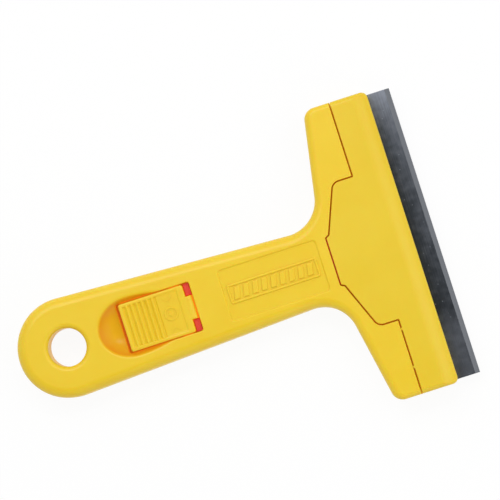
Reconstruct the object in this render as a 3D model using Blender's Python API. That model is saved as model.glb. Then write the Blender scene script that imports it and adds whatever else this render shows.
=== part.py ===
# Hand scraper for glass and tiles: a moulded two-shell handle that flares into a wide
# head, a steel blade held under a hinged clamping plate, and a thumb button that tips
# the lever under the plate, so that the plate lifts off the blade.
#
# Metres, +Z up. The underside lies on Z = 0, X runs along the handle towards the blade,
# and Y runs along the blade. The origin is under the middle of the overall length.

import math
from math import cos, radians, sin, tan

import bmesh
import bpy

# Overall sizes
BODY_LENGTH = 0.13805           # tail of the handle to the plastic front edge
BLADE_REACH = 0.00765           # how far the blade stands out in front
HANDLE_HEIGHT = 0.0150
TAIL_RADIUS = 0.0169
HANDLE_TAPER = radians(2.8)     # each side draws in by this towards the head
NECK_FILLET = 0.0120
NECK_SETBACK = 0.00134          # hinge seam back to where the wing leaves the handle
WING_SWEEP = radians(10.4)
WING_CORNER_RADIUS = 0.0040
FRONT_CORNER_RADIUS = 0.0020
GRIP_ROUNDING = 0.0035          # top edge along the handle
HEAD_ROUNDING = 0.0025          # top edge round the head
BASE_ROUNDING = 0.0020          # edge of the underside

# Shell walls and the gaps between neighbours
WALL = 0.0020
FLOOR = 0.0020
ROOF = 0.0022
PARTING_HEIGHT = 0.0070
FIT_GAP = 0.0003
PIN_GAP = 0.0001
LIP_WALL = 0.0009
LIP_HEIGHT = 0.0012

# Blade and its bed
BLADE_LENGTH = 0.1000
BLADE_END_COVER = 0.00105       # plastic beyond each end of the blade
BLADE_DEPTH = 0.0180
BLADE_THICKNESS = 0.0010
GRIND_WIDTH = 0.0016
EDGE_THICKNESS = 0.0001
BLADE_HOLE_RADIUS = 0.0022
BLADE_HOLE_SHARE = 0.28         # hole pitch, of the blade's length
BLADE_HOLE_SETBACK = 0.0070     # front edge of the plastic to the hole centres
BED_HEIGHT = 0.0044
NOSE_CHAMFER = 0.0072           # underside slope, measured back from the front
NOSE_HEIGHT = 0.0026
PEG_RADIUS = 0.0019
PEG_HEIGHT = 0.0021
STOP_RIB_THICKNESS = 0.0013
STOP_RIB_HEIGHT = 0.0018

# Clamping plate, each run measured back from where the one before it ends
SEAM_GAP = 0.0005
SEAM_WALL = 0.0015              # upper shell's wall along the seam
JAW_DEPTH = 0.0128              # plastic front edge to the seam along the wings
TAB_RUN = 0.0070
TAB_WIDTH = 0.0502
SHOULDER_RADIUS = 0.0030
SLANT_RUN = 0.0065
JOG_WIDTH = 0.0178
HINGE_RUN = 0.0013
HINGE_SEAM_WIDTH = 0.0164
JAW_PLATE = 0.0024
JAW_BEND_RUN = 0.0062           # front edge back to where the top starts to bend down
JAW_BEND_DROP = 0.0025
JAW_LIP_DEPTH = 0.0036
JAW_REAR_WALL = 0.0020
POCKET_RIB = 0.0020
POCKET_ROOF = 0.0050

# Lever and its hinge
HINGE_SETBACK = 0.0046          # hinge seam back to the pin
BARREL_RADIUS = 0.0030
BARREL_GAP = 0.0004
PIN_RADIUS = 0.0015
PIN_LENGTH = 0.0232
EAR_THICKNESS = 0.0034
EAR_WIDTH = 0.0060
LEVER_WIDTH = 0.0158
ARM_DEPTH = 0.0033              # roof down to the top of the arm
ARM_THICKNESS = 0.0023
ARM_CORNER_RADIUS = 0.0020
ARM_RIB_THICKNESS = 0.0012
ARM_RIB_HEIGHT = 0.0016
ARM_RIB_LENGTH = 0.0340
HORN_LENGTH = 0.0018
HORN_DEPTH = 0.0014             # handle's surface down to the top of a horn
FLANGE_THICKNESS = 0.0025
FLANGE_WIDTH = 0.0360
FLANGE_DEPTH = 0.0075
FLANGE_SETBACK = 0.0018         # behind the line of the wing seam
JAW_SCREW_PITCH = 0.0260
JAW_SCREW_SETBACK = 0.0055
JAW_BOSS_RADIUS = 0.0025
JAW_BOSS_LENGTH = 0.0022

# Button and the window that it sits in, measured from the tail
WINDOW_START = 0.03635
WINDOW_LENGTH = 0.0259
WINDOW_WIDTH = 0.0171
WINDOW_CORNER_RADIUS = 0.0008
BUTTON_TAIL_GAP = 0.0009
BUTTON_LENGTH = 0.0226
BUTTON_PROUD = 0.0002
BUTTON_PLATE = 0.0022
BUTTON_SKIRT = 0.0034
BUTTON_WALL = 0.0013
BUTTON_NECK_WIDTH = 0.0080
AXLE_SETBACK = 0.0026           # window end to the button's axle
AXLE_RADIUS = 0.0012
AXLE_GAP = 0.0004
AXLE_EAR_THICKNESS = 0.0022
AXLE_EAR_WIDTH = 0.0048
FOOT_SETBACK = 0.0046           # button's tail edge to the middle of its foot
FOOT_LENGTH = 0.0030
FOOT_WIDTH = 0.0100
LEDGE_LENGTH = 0.0036
LEDGE_WIDTH = 0.0008
LEDGE_THICKNESS = 0.0014
RIB_COUNT = 7
RIB_PITCH = 0.00184
RIB_HEIGHT = 0.0005
RIB_BASE = 0.0012
RIB_CREST = 0.0005
RIB_MARGIN = 0.0009
PANEL_LENGTH = 0.0076
PANEL_WIDTH = 0.0142
PANEL_DEPTH = 0.0002
PANEL_SETBACK = 0.0024          # button's head edge to the panel

# Thumb scoop, label recess and hanging hole
SCOOP_TAIL_LENGTH = 0.0115      # deepest point to the scoop's tail edge
SCOOP_HEAD_LENGTH = 0.0220      # deepest point to where it runs out under the button
SCOOP_WIDTH = 0.0202
SCOOP_DEPTH = 0.0030
SCOOP_RISE = 0.0020             # how far the scoop's centre lies above the surface
SCOOP_LEAD = 0.0080             # scoop's tail edge to the window
LABEL_GAP = 0.0101
LABEL_MARGIN = 0.0037
LABEL_WIDTH = 0.0177
LABEL_DEPTH = 0.0004
LABEL_CORNER_RADIUS = 0.0012
HOLE_RADIUS = 0.00645
HOLE_ROUNDING = 0.0010

# Return spring
SPRING_RADIUS = 0.0034
SPRING_WIRE_RADIUS = 0.00035
SPRING_SETBACK = 0.0270         # hinge pin back to the spring
SPRING_PITCH = 0.0012
SPRING_PEG_RADIUS = 0.0024
SPRING_PEG_HEIGHT = 0.0016

# Screws
SCREW_HEAD_RADIUS = 0.0026
SCREW_HEAD_HEIGHT = 0.0019
SCREW_RADIUS = 0.0011
SCREW_LENGTH = 0.0085
JAW_SCREW_LENGTH = 0.0034
CROSS_WIDTH = 0.0008
CROSS_DEPTH = 0.0010
BOSS_RADIUS = 0.0030
SLEEVE_RADIUS = 0.0039
COUNTERBORE_RADIUS = 0.0029
COUNTERBORE_DEPTH = 0.0026
TAIL_SCREW_SETBACK = 0.0050
WING_SCREW_SETBACK = 0.0064
WING_SCREW_INSET = 0.0170       # head's side to the screw

# How finely round shapes are cut up
LARGE_ARC_STEPS = 14
SMALL_ARC_STEPS = 5
LARGE_ARC_RADIUS = 0.0100
ROUND_STEPS = 4
ROUND_SIDES = 24
SMALL_SIDES = 16
SCOOP_SEGMENTS = 40
SCOOP_RINGS = 20
CURL_POINTS = 10

OVERRUN = 0.0010                # how far a cutter runs past the face that it cuts
WELD = 0.000001
LEAST_RADIUS = 0.0001

HEAD_WIDTH = BLADE_LENGTH + 2 * BLADE_END_COVER
BLADE_HOLE_PITCH = BLADE_LENGTH * BLADE_HOLE_SHARE

# Places along X
X_TAIL = -(BODY_LENGTH + BLADE_REACH) / 2
X_FRONT = X_TAIL + BODY_LENGTH
X_EDGE = X_FRONT + BLADE_REACH
X_HOLE = X_TAIL + TAIL_RADIUS
X_SEAM = X_FRONT - JAW_DEPTH
X_SHOULDER = X_SEAM - TAB_RUN
X_JOG = X_SHOULDER - SLANT_RUN
X_HINGE_SEAM = X_JOG - HINGE_RUN
X_NECK = X_HINGE_SEAM - NECK_SETBACK
X_HINGE = X_HINGE_SEAM - HINGE_SETBACK
X_WINDOW = X_TAIL + WINDOW_START
X_WINDOW_END = X_WINDOW + WINDOW_LENGTH
X_BUTTON = X_WINDOW + BUTTON_TAIL_GAP
X_BUTTON_END = X_BUTTON + BUTTON_LENGTH
X_AXLE = X_WINDOW_END + AXLE_SETBACK
X_FOOT = X_BUTTON + FOOT_SETBACK
X_SPRING = X_HINGE - SPRING_SETBACK
X_BLADE_BACK = X_EDGE - BLADE_DEPTH
X_PEGS = X_FRONT - BLADE_HOLE_SETBACK

# Places along Z
Z_ROOF = HANDLE_HEIGHT - ROOF
Z_LOWER_TOP = PARTING_HEIGHT - FIT_GAP / 2
Z_UPPER_BASE = PARTING_HEIGHT + FIT_GAP / 2
Z_BLADE = BED_HEIGHT + FIT_GAP
Z_JAW = Z_BLADE + BLADE_THICKNESS + FIT_GAP
Z_PLATE = HANDLE_HEIGHT - JAW_PLATE
Z_FLANGE_TOP = Z_PLATE - FIT_GAP
Z_FLANGE = Z_FLANGE_TOP - FLANGE_THICKNESS
Z_HINGE = Z_ROOF - BARREL_GAP - BARREL_RADIUS
Z_ARM_TOP = Z_ROOF - ARM_DEPTH
Z_ARM = Z_ARM_TOP - ARM_THICKNESS
Z_AXLE = Z_ROOF - AXLE_GAP - AXLE_RADIUS
Z_BUTTON = HANDLE_HEIGHT + BUTTON_PROUD
Z_BUTTON_UNDER = Z_BUTTON - BUTTON_PLATE
Z_SKIRT = Z_BUTTON - BUTTON_SKIRT

YELLOW = (0.93, 0.60, 0.03, 1.0)
RED = (0.62, 0.05, 0.02, 1.0)
STEEL = (0.30, 0.32, 0.34, 1.0)
ZINC = (0.62, 0.63, 0.64, 1.0)


def clear_scene():
    for existing in list(bpy.data.objects):
        bpy.data.objects.remove(existing, do_unlink=True)


def material(name, colour, roughness, metallic):
    made = bpy.data.materials.new(name)
    made.use_nodes = True
    shader = made.node_tree.nodes["Principled BSDF"]
    shader.inputs["Base Color"].default_value = colour
    shader.inputs["Roughness"].default_value = roughness
    shader.inputs["Metallic"].default_value = metallic
    made.diffuse_color = colour
    return made


def add_object(name, mesh):
    made = bpy.data.objects.new(name, mesh)
    bpy.context.scene.collection.objects.link(made)
    return made


def object_from(name, solid):
    """Welds and orients a bmesh and links it as an object."""
    bmesh.ops.remove_doubles(solid, verts=solid.verts, dist=WELD)
    bmesh.ops.recalc_face_normals(solid, faces=solid.faces)
    mesh = bpy.data.meshes.new(name)
    solid.to_mesh(mesh)
    solid.free()
    return add_object(name, mesh)


def whole(half, closing):
    """Mirrors the corners of the -Y half. Each is x, y, radius and the edge that leaves it."""
    kinds = [closing] + [corner[3] for corner in half[:-1]]
    mirrored = [(x, -y, radius, kind)
                for (x, y, radius, _), kind in zip(half, kinds)]
    return half + mirrored[::-1]


def crossing(a, direction_a, b, direction_b):
    """Where two lines meet, each given by a point and a direction."""
    turn = direction_a[0] * direction_b[1] - direction_a[1] * direction_b[0]
    along = ((b[0] - a[0]) * direction_b[1] - (b[1] - a[1]) * direction_b[0]) / turn
    return (a[0] + along * direction_a[0], a[1] + along * direction_a[1])


def unit(a, b):
    length = math.hypot(b[0] - a[0], b[1] - a[1])
    return ((b[0] - a[0]) / length, (b[1] - a[1]) / length)


def plan(outline, insets):
    """Points of an outline whose edges move inwards, each kind by its own inset."""
    count = len(outline)
    heads = [unit(outline[i], outline[(i + 1) % count]) for i in range(count)]
    moves = [insets.get(corner[3], 0.0) for corner in outline]
    starts = [(outline[i][0] - heads[i][1] * moves[i], outline[i][1] + heads[i][0] * moves[i])
              for i in range(count)]
    points = []
    for i, (_, _, radius, _) in enumerate(outline):
        before = heads[i - 1]
        after = heads[i]
        corner = crossing(starts[i - 1], before, starts[i], after)
        turn = math.atan2(before[0] * after[1] - before[1] * after[0],
                          before[0] * after[0] + before[1] * after[1])
        if radius == 0:
            points.append(corner)
            continue
        side = math.copysign(1.0, turn)
        inset = (moves[i - 1] + moves[i]) / 2
        inner = max(radius - side * inset, LEAST_RADIUS)
        reach = inner * tan(abs(turn) / 2)
        steps = LARGE_ARC_STEPS if radius > LARGE_ARC_RADIUS else SMALL_ARC_STEPS
        start = (corner[0] - before[0] * reach, corner[1] - before[1] * reach)
        centre = (start[0] - side * before[1] * inner, start[1] + side * before[0] * inner)
        first = math.atan2(start[1] - centre[1], start[0] - centre[0])
        for step in range(steps + 1):
            angle = first + turn * step / steps
            points.append((centre[0] + inner * cos(angle), centre[1] + inner * sin(angle)))
    return points


def loft(name, sections):
    """A closed solid through flat sections, each a height and its ring of points."""
    solid = bmesh.new()
    rings = [[solid.verts.new((x, y, z)) for x, y in points] for z, points in sections]
    for low, high in zip(rings, rings[1:]):
        for i in range(len(low)):
            j = (i + 1) % len(low)
            solid.faces.new((low[i], low[j], high[j], high[i]))
    solid.faces.new(rings[0][::-1])
    solid.faces.new(rings[-1])
    return object_from(name, solid)


def box(name, x_range, y_range, z_range):
    corners = [(x, y) for x in x_range for y in y_range]
    ring = [corners[0], corners[2], corners[3], corners[1]]
    return loft(name, [(z_range[0], ring), (z_range[1], ring)])


def circle(x, y, radius, sides):
    return [(x + radius * cos(math.tau * i / sides), y + radius * sin(math.tau * i / sides))
            for i in range(sides)]


def post(name, x, y, radius, z_range, sides=ROUND_SIDES):
    ring = circle(x, y, radius, sides)
    return loft(name, [(z_range[0], ring), (z_range[1], ring)])


def cross_rod(name, x, z, radius, length, sides=ROUND_SIDES):
    """A round bar along Y."""
    solid = bmesh.new()
    rings = []
    for y in (-length / 2, length / 2):
        rings.append([solid.verts.new((x + px, y, z + pz)) for px, pz in circle(0, 0, radius, sides)])
    for i in range(sides):
        j = (i + 1) % sides
        solid.faces.new((rings[0][i], rings[0][j], rings[1][j], rings[1][i]))
    solid.faces.new(rings[0])
    solid.faces.new(rings[1][::-1])
    return object_from(name, solid)


def combine(target, tool, operation):
    step = target.modifiers.new(tool.name, "BOOLEAN")
    step.operation = operation
    step.solver = "EXACT"
    step.object = tool
    tool.hide_render = True
    tool.display_type = "WIRE"


def cut(target, *tools):
    for tool in tools:
        combine(target, tool, "DIFFERENCE")


def join(target, *tools):
    for tool in tools:
        combine(target, tool, "UNION")


def finish(piece, made_of, pivot=None):
    piece.data.materials.clear()
    piece.data.materials.append(made_of)
    piece.data.shade_smooth()
    piece.data.set_sharp_from_angle(angle=radians(30))
    if pivot is not None:
        piece.parent = pivot
        piece.matrix_parent_inverse = pivot.matrix_world.inverted()


def pivot_at(name, x, z):
    marker = add_object(name, None)
    marker.location = (x, 0.0, z)
    bpy.context.view_layer.update()
    return marker


def inset_at(rounding, depth):
    """How far a rounded edge has drawn in, this far below the face that it runs into."""
    if depth >= rounding:
        return 0.0
    return rounding - math.sqrt(rounding ** 2 - (rounding - depth) ** 2)


def round_depths(rounding):
    return [rounding * (1 - cos(math.pi / 2 * i / ROUND_STEPS)) for i in range(ROUND_STEPS + 1)]


def head_corners():
    """The handle side, then the wing, as sharp corners of the -Y half."""
    tail_half = TAIL_RADIUS * (1 + sin(HANDLE_TAPER)) / cos(HANDLE_TAPER)
    neck_half = tail_half - (X_NECK - X_TAIL) * tan(HANDLE_TAPER)
    x_wing = X_NECK + (HEAD_WIDTH / 2 - neck_half) * tan(WING_SWEEP)
    return [(X_TAIL, -tail_half, TAIL_RADIUS, "grip"),
            (X_NECK, -neck_half, NECK_FILLET, "wing"),
            (x_wing, -HEAD_WIDTH / 2, WING_CORNER_RADIUS, "wing")]


def body_outline():
    return whole(head_corners() + [(X_FRONT, -HEAD_WIDTH / 2, FRONT_CORNER_RADIUS, "front")], "grip")


def seam_corners():
    """The seam round the clamping plate, from the wing edge to the hinge, on the -Y side."""
    return [(X_SEAM, -TAB_WIDTH / 2),
            (X_SHOULDER, -TAB_WIDTH / 2),
            (X_JOG, -JOG_WIDTH / 2),
            (X_HINGE_SEAM, -HINGE_SEAM_WIDTH / 2)]


def upper_outline():
    inner, shoulder, jog, hinge = seam_corners()
    return whole(head_corners() + [
        (X_SEAM, -HEAD_WIDTH / 2, 0, "seam"),
        (inner[0], inner[1], 0, "seam"),
        (shoulder[0], shoulder[1], SHOULDER_RADIUS, "seam"),
        (jog[0], jog[1], 0, "seam"),
        (hinge[0], hinge[1], 0, "hinge")], "grip")


def hollow_outline():
    """As the upper outline, with the seam's slant run straight on past the small jog."""
    inner, shoulder, jog, _ = seam_corners()
    end = crossing(shoulder, unit(shoulder, jog), (X_HINGE_SEAM, 0.0), (0.0, 1.0))
    return whole(head_corners() + [
        (X_SEAM, -HEAD_WIDTH / 2, 0, "seam"),
        (inner[0], inner[1], 0, "seam"),
        (shoulder[0], shoulder[1], SHOULDER_RADIUS, "seam"),
        (end[0], end[1], 0, "hinge")], "grip")


def jaw_outline():
    inner, shoulder, jog, hinge = seam_corners()
    return whole([
        (hinge[0], hinge[1], 0, "seam"),
        (jog[0], jog[1], 0, "seam"),
        (shoulder[0], shoulder[1], SHOULDER_RADIUS, "seam"),
        (inner[0], inner[1], 0, "seam"),
        (X_SEAM, -HEAD_WIDTH / 2, 0, "wing"),
        (X_FRONT, -HEAD_WIDTH / 2, FRONT_CORNER_RADIUS, "front")], "seam")


def hole_cutter():
    """The hanging hole, opening out in a small round at both faces."""
    sections = [(-OVERRUN, circle(X_HOLE, 0, HOLE_RADIUS + HOLE_ROUNDING, ROUND_SIDES * 2))]
    depths = round_depths(HOLE_ROUNDING)
    for depth in depths:
        radius = HOLE_RADIUS + inset_at(HOLE_ROUNDING, depth)
        sections.append((depth, circle(X_HOLE, 0, radius, ROUND_SIDES * 2)))
    for depth in depths[::-1]:
        radius = HOLE_RADIUS + inset_at(HOLE_ROUNDING, depth)
        sections.append((HANDLE_HEIGHT - depth, circle(X_HOLE, 0, radius, ROUND_SIDES * 2)))
    sections.append((HANDLE_HEIGHT + OVERRUN, sections[0][1]))
    return sections


def window_outline(grow):
    half = WINDOW_WIDTH / 2
    radius = WINDOW_CORNER_RADIUS
    corners = [(X_WINDOW, -half, radius, "all"), (X_WINDOW_END, -half, radius, "all")]
    return plan(whole(corners, "all"), {"all": -grow})


def label_outline():
    corners = [(X_WINDOW_END + LABEL_GAP, -LABEL_WIDTH / 2, LABEL_CORNER_RADIUS, "all"),
               (X_HINGE_SEAM - LABEL_MARGIN, -LABEL_WIDTH / 2, LABEL_CORNER_RADIUS, "all")]
    return plan(whole(corners, "all"), {})


def scoop(name, grow):
    """An ellipsoid that hollows the top; grown by the wall, it keeps the roof thick there."""
    height = SCOOP_DEPTH + SCOOP_RISE
    spread = math.sqrt(1 - (SCOOP_RISE / height) ** 2)
    solid = bmesh.new()
    bmesh.ops.create_uvsphere(solid, u_segments=SCOOP_SEGMENTS, v_segments=SCOOP_RINGS, radius=1.0)
    middle = X_WINDOW - SCOOP_LEAD + SCOOP_TAIL_LENGTH
    for vert in solid.verts:
        length = SCOOP_HEAD_LENGTH if vert.co.x > 0 else SCOOP_TAIL_LENGTH
        vert.co.x = middle + vert.co.x * (length / spread + grow)
        vert.co.y *= SCOOP_WIDTH / 2 / spread + grow
        vert.co.z = HANDLE_HEIGHT + SCOOP_RISE + vert.co.z * (height + grow)
    return object_from(name, solid)


def shell_screw_places():
    wing_x = X_SEAM - WING_SCREW_SETBACK
    return {"tail_screw": (X_WINDOW - TAIL_SCREW_SETBACK, 0.0),
            "wing_screw_left": (wing_x, HEAD_WIDTH / 2 - WING_SCREW_INSET),
            "wing_screw_right": (wing_x, WING_SCREW_INSET - HEAD_WIDTH / 2)}


def hole_tube(name, z_range):
    return post(name, X_HOLE, 0, HOLE_RADIUS + WALL, z_range, ROUND_SIDES * 2)


def upper_cavity():
    """The hollow of the upper shell, left thick under the scoop and open at the hinge."""
    rounding = (GRIP_ROUNDING - WALL) / 2
    levels = [(Z_UPPER_BASE - OVERRUN, 0.0)]
    for depth in round_depths(rounding)[::-1]:
        levels.append((Z_ROOF - depth, inset_at(rounding, depth)))
    sections = []
    for z, draw in levels:
        insets = {"grip": WALL + draw, "wing": WALL + draw,
                  "seam": SEAM_WALL + SEAM_GAP / 2, "hinge": -OVERRUN}
        sections.append((z, plan(hollow_outline(), insets)))
    cavity = loft("upper_cavity", sections)
    cut(cavity, scoop("scoop_wall", WALL))
    return cavity


def upper_shell(yellow):
    outline = upper_outline()
    sections = [(Z_UPPER_BASE, plan(outline, {"seam": SEAM_GAP / 2, "hinge": SEAM_GAP / 2}))]
    for depth in round_depths(GRIP_ROUNDING)[::-1]:
        insets = {"grip": inset_at(GRIP_ROUNDING, depth), "wing": inset_at(HEAD_ROUNDING, depth),
                  "seam": SEAM_GAP / 2, "hinge": SEAM_GAP / 2}
        sections.append((HANDLE_HEIGHT - depth, plan(outline, insets)))
    shell = loft("upper_shell", sections)
    cut(shell, upper_cavity())

    lip_gap = WALL - LIP_WALL - FIT_GAP
    rebate = {"grip": lip_gap, "wing": lip_gap, "front": lip_gap}
    low, high = Z_UPPER_BASE - OVERRUN, PARTING_HEIGHT + LIP_HEIGHT + FIT_GAP
    cut(shell, loft("lip_rebate", [(low, plan(body_outline(), rebate)),
                                   (high, plan(body_outline(), rebate))]))

    into_roof = Z_ROOF + ROOF / 2
    join(shell, hole_tube("upper_hole_tube", (Z_UPPER_BASE, into_roof)))
    for name, (x, y) in shell_screw_places().items():
        top = Z_ROOF if name == "tail_screw" else into_roof
        join(shell, post(name + "_boss", x, y, BOSS_RADIUS, (Z_UPPER_BASE, top)))
    ear_y = BUTTON_NECK_WIDTH / 2 + FIT_GAP
    for name, side in (("axle_ear_left", 1), ("axle_ear_right", -1)):
        join(shell, box(name, (X_AXLE - AXLE_EAR_WIDTH / 2, X_AXLE + AXLE_EAR_WIDTH / 2),
                        sorted((side * ear_y, side * (ear_y + AXLE_EAR_THICKNESS))),
                        (Z_ARM_TOP + FIT_GAP, into_roof)))

    bay_half = LEVER_WIDTH / 2 + EAR_THICKNESS + FIT_GAP * 2
    cut(shell, box("hinge_bay", (X_HINGE - EAR_WIDTH / 2 - FIT_GAP, X_HINGE_SEAM + WALL * 2),
                   (-bay_half, bay_half), (Z_UPPER_BASE - OVERRUN, Z_ROOF)))
    cut(shell, scoop("scoop", 0.0))
    cut(shell, loft("window", [(Z_UPPER_BASE - OVERRUN, window_outline(0.0)),
                               (HANDLE_HEIGHT + OVERRUN, window_outline(0.0))]))
    cut(shell, loft("label_recess", [(HANDLE_HEIGHT - LABEL_DEPTH, label_outline()),
                                     (HANDLE_HEIGHT + OVERRUN, label_outline())]))
    cut(shell, loft("upper_hole", hole_cutter()))
    bore = AXLE_RADIUS + PIN_GAP
    span = BUTTON_NECK_WIDTH + AXLE_EAR_THICKNESS * 3
    cut(shell, cross_rod("axle_bore", X_AXLE, Z_AXLE, bore, span))
    tip = COUNTERBORE_DEPTH - FIT_GAP + SCREW_LENGTH + FIT_GAP * 2
    for name, (x, y) in shell_screw_places().items():
        cut(shell, post(name + "_pilot", x, y, SCREW_RADIUS + PIN_GAP,
                        (Z_UPPER_BASE - OVERRUN, tip), SMALL_SIDES))
    finish(shell, yellow)


def lower_shell(yellow):
    outline = body_outline()
    sections = []
    for depth in round_depths(BASE_ROUNDING):
        draw = inset_at(BASE_ROUNDING, depth)
        nose = NOSE_CHAMFER * (1 - depth / NOSE_HEIGHT)
        sections.append((depth, plan(outline, {"grip": draw, "wing": draw, "front": nose})))
    sections.append((NOSE_HEIGHT, plan(outline, {})))
    sections.append((Z_LOWER_TOP, plan(outline, {})))
    shell = loft("lower_shell", sections)

    lip = WALL - LIP_WALL
    lip_insets = {"grip": lip, "wing": lip, "front": lip}
    join(shell, loft("locating_lip", [(Z_LOWER_TOP - LIP_HEIGHT, plan(outline, lip_insets)),
                                      (PARTING_HEIGHT + LIP_HEIGHT, plan(outline, lip_insets))]))
    hollow = {"grip": WALL, "wing": WALL, "front": JAW_DEPTH + WALL}
    cut(shell, loft("lower_cavity", [(FLOOR, plan(outline, hollow)),
                                     (HANDLE_HEIGHT, plan(outline, hollow))]))
    half_head = HEAD_WIDTH / 2 + OVERRUN
    cut(shell, box("bed_step", (X_SEAM - SEAM_GAP / 2, X_FRONT + OVERRUN), (-half_head, half_head),
                   (BED_HEIGHT, HANDLE_HEIGHT)))
    tab_half = TAB_WIDTH / 2 - SEAM_GAP
    cut(shell, box("tab_step", (X_SEAM - WALL - SEAM_GAP, X_FRONT), (-tab_half, tab_half),
                   (BED_HEIGHT, HANDLE_HEIGHT)))

    rib_end = X_BLADE_BACK - FIT_GAP
    join(shell, box("stop_rib", (rib_end - STOP_RIB_THICKNESS, rib_end),
                    (-BLADE_LENGTH / 2, BLADE_LENGTH / 2),
                    (BED_HEIGHT - FLOOR, BED_HEIGHT + STOP_RIB_HEIGHT)))
    for name, step in (("peg_left", 1), ("peg_middle", 0), ("peg_right", -1)):
        join(shell, post(name, X_PEGS, step * BLADE_HOLE_PITCH, PEG_RADIUS,
                         (BED_HEIGHT - FLOOR, BED_HEIGHT + PEG_HEIGHT), SMALL_SIDES))
    ear_y = LEVER_WIDTH / 2 + FIT_GAP
    for name, side in (("pin_ear_left", 1), ("pin_ear_right", -1)):
        join(shell, box(name, (X_HINGE - EAR_WIDTH / 2, X_HINGE + EAR_WIDTH / 2),
                        sorted((side * ear_y, side * (ear_y + EAR_THICKNESS))),
                        (FLOOR / 2, Z_HINGE + BARREL_RADIUS)))
    join(shell, post("spring_peg", X_SPRING, 0, SPRING_PEG_RADIUS,
                     (FLOOR / 2, FLOOR + SPRING_PEG_HEIGHT), SMALL_SIDES))
    join(shell, hole_tube("lower_hole_tube", (FLOOR / 2, Z_LOWER_TOP)))
    for name, (x, y) in shell_screw_places().items():
        join(shell, post(name + "_sleeve", x, y, SLEEVE_RADIUS, (FLOOR / 2, Z_LOWER_TOP)))

    cut(shell, loft("lower_hole", hole_cutter()))
    pin_span = LEVER_WIDTH + EAR_THICKNESS * 4
    cut(shell, cross_rod("pin_bore", X_HINGE, Z_HINGE, PIN_RADIUS + PIN_GAP, pin_span))
    for name, (x, y) in shell_screw_places().items():
        cut(shell, post(name + "_counterbore", x, y, COUNTERBORE_RADIUS, (-OVERRUN, COUNTERBORE_DEPTH)))
        cut(shell, post(name + "_clearance", x, y, SCREW_RADIUS + FIT_GAP,
                        (COUNTERBORE_DEPTH - OVERRUN, HANDLE_HEIGHT / 2 + OVERRUN), SMALL_SIDES))
    finish(shell, yellow)


def blade(steel):
    ends = BLADE_LENGTH / 2
    outline = whole([(X_BLADE_BACK, -ends, 0, "back"), (X_EDGE, -ends, 0, "edge")], "back")
    plate = loft("blade", [(Z_BLADE, plan(outline, {})),
                           (Z_BLADE + EDGE_THICKNESS, plan(outline, {})),
                           (Z_BLADE + BLADE_THICKNESS, plan(outline, {"edge": GRIND_WIDTH}))])
    for name, step in (("hole_left", 1), ("hole_middle", 0), ("hole_right", -1)):
        cut(plate, post(name, X_PEGS, step * BLADE_HOLE_PITCH, BLADE_HOLE_RADIUS,
                        (Z_BLADE - OVERRUN, Z_JAW + OVERRUN), ROUND_SIDES))
    finish(plate, steel)


def clamp_jaw(yellow, pivot):
    outline = jaw_outline()
    bend_radius = (JAW_BEND_RUN ** 2 + JAW_BEND_DROP ** 2) / (2 * JAW_BEND_DROP)
    sections = [(Z_JAW, plan(outline, {"seam": SEAM_GAP / 2}))]
    for depth in round_depths(max(HEAD_ROUNDING, JAW_BEND_DROP))[::-1]:
        bent = bend_radius - min(depth, JAW_BEND_DROP)
        insets = {"wing": inset_at(HEAD_ROUNDING, depth), "seam": SEAM_GAP / 2,
                  "front": JAW_BEND_RUN - math.sqrt(bend_radius ** 2 - bent ** 2)}
        sections.append((HANDLE_HEIGHT - depth, plan(outline, insets)))
    jaw = loft("clamp_jaw", sections)

    rear = X_SEAM + SEAM_GAP / 2
    half_head = HEAD_WIDTH / 2 + OVERRUN
    cut(jaw, box("under_tab", (X_HINGE_SEAM - OVERRUN, rear), (-half_head, half_head),
                 (Z_JAW - OVERRUN, Z_PLATE)))
    cut(jaw, box("rib_relief", (rear - OVERRUN, X_BLADE_BACK), (-half_head, half_head),
                 (Z_JAW - OVERRUN, BED_HEIGHT + STOP_RIB_HEIGHT + FIT_GAP)))
    pocket_pitch = BLADE_HOLE_PITCH / 2
    pockets = int((HEAD_WIDTH / 2 - WALL) / pocket_pitch)
    for step in range(-pockets, pockets + 1):
        low = step * pocket_pitch - (pocket_pitch - POCKET_RIB) / 2
        high = min(low + pocket_pitch - POCKET_RIB, HEAD_WIDTH / 2 - WALL)
        low = max(low, WALL - HEAD_WIDTH / 2)
        if high - low > POCKET_RIB:
            cut(jaw, box(f"pocket_{step + pockets}", (rear + JAW_REAR_WALL, X_FRONT - JAW_LIP_DEPTH),
                         (low, high), (Z_JAW - OVERRUN, HANDLE_HEIGHT - POCKET_ROOF)))
    for name, side in (("jaw_boss_left", 1), ("jaw_boss_right", -1)):
        place = (X_SEAM - JAW_SCREW_SETBACK, side * JAW_SCREW_PITCH / 2)
        join(jaw, post(name, *place, JAW_BOSS_RADIUS, (Z_PLATE - JAW_BOSS_LENGTH, Z_PLATE + JAW_PLATE / 2)))
    for name, side in (("jaw_pilot_left", 1), ("jaw_pilot_right", -1)):
        place = (X_SEAM - JAW_SCREW_SETBACK, side * JAW_SCREW_PITCH / 2)
        cut(jaw, post(name, *place, SCREW_RADIUS + PIN_GAP,
                      (Z_FLANGE - OVERRUN, Z_FLANGE + JAW_SCREW_LENGTH + FIT_GAP), SMALL_SIDES))
    finish(jaw, yellow, pivot)


def lever_arm_outline():
    half = LEVER_WIDTH / 2
    corners = [(X_WINDOW + FIT_GAP, -half, ARM_CORNER_RADIUS, "side"), (X_HINGE, -half, 0, "side")]
    return plan(whole(corners, "side"), {})


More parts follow.
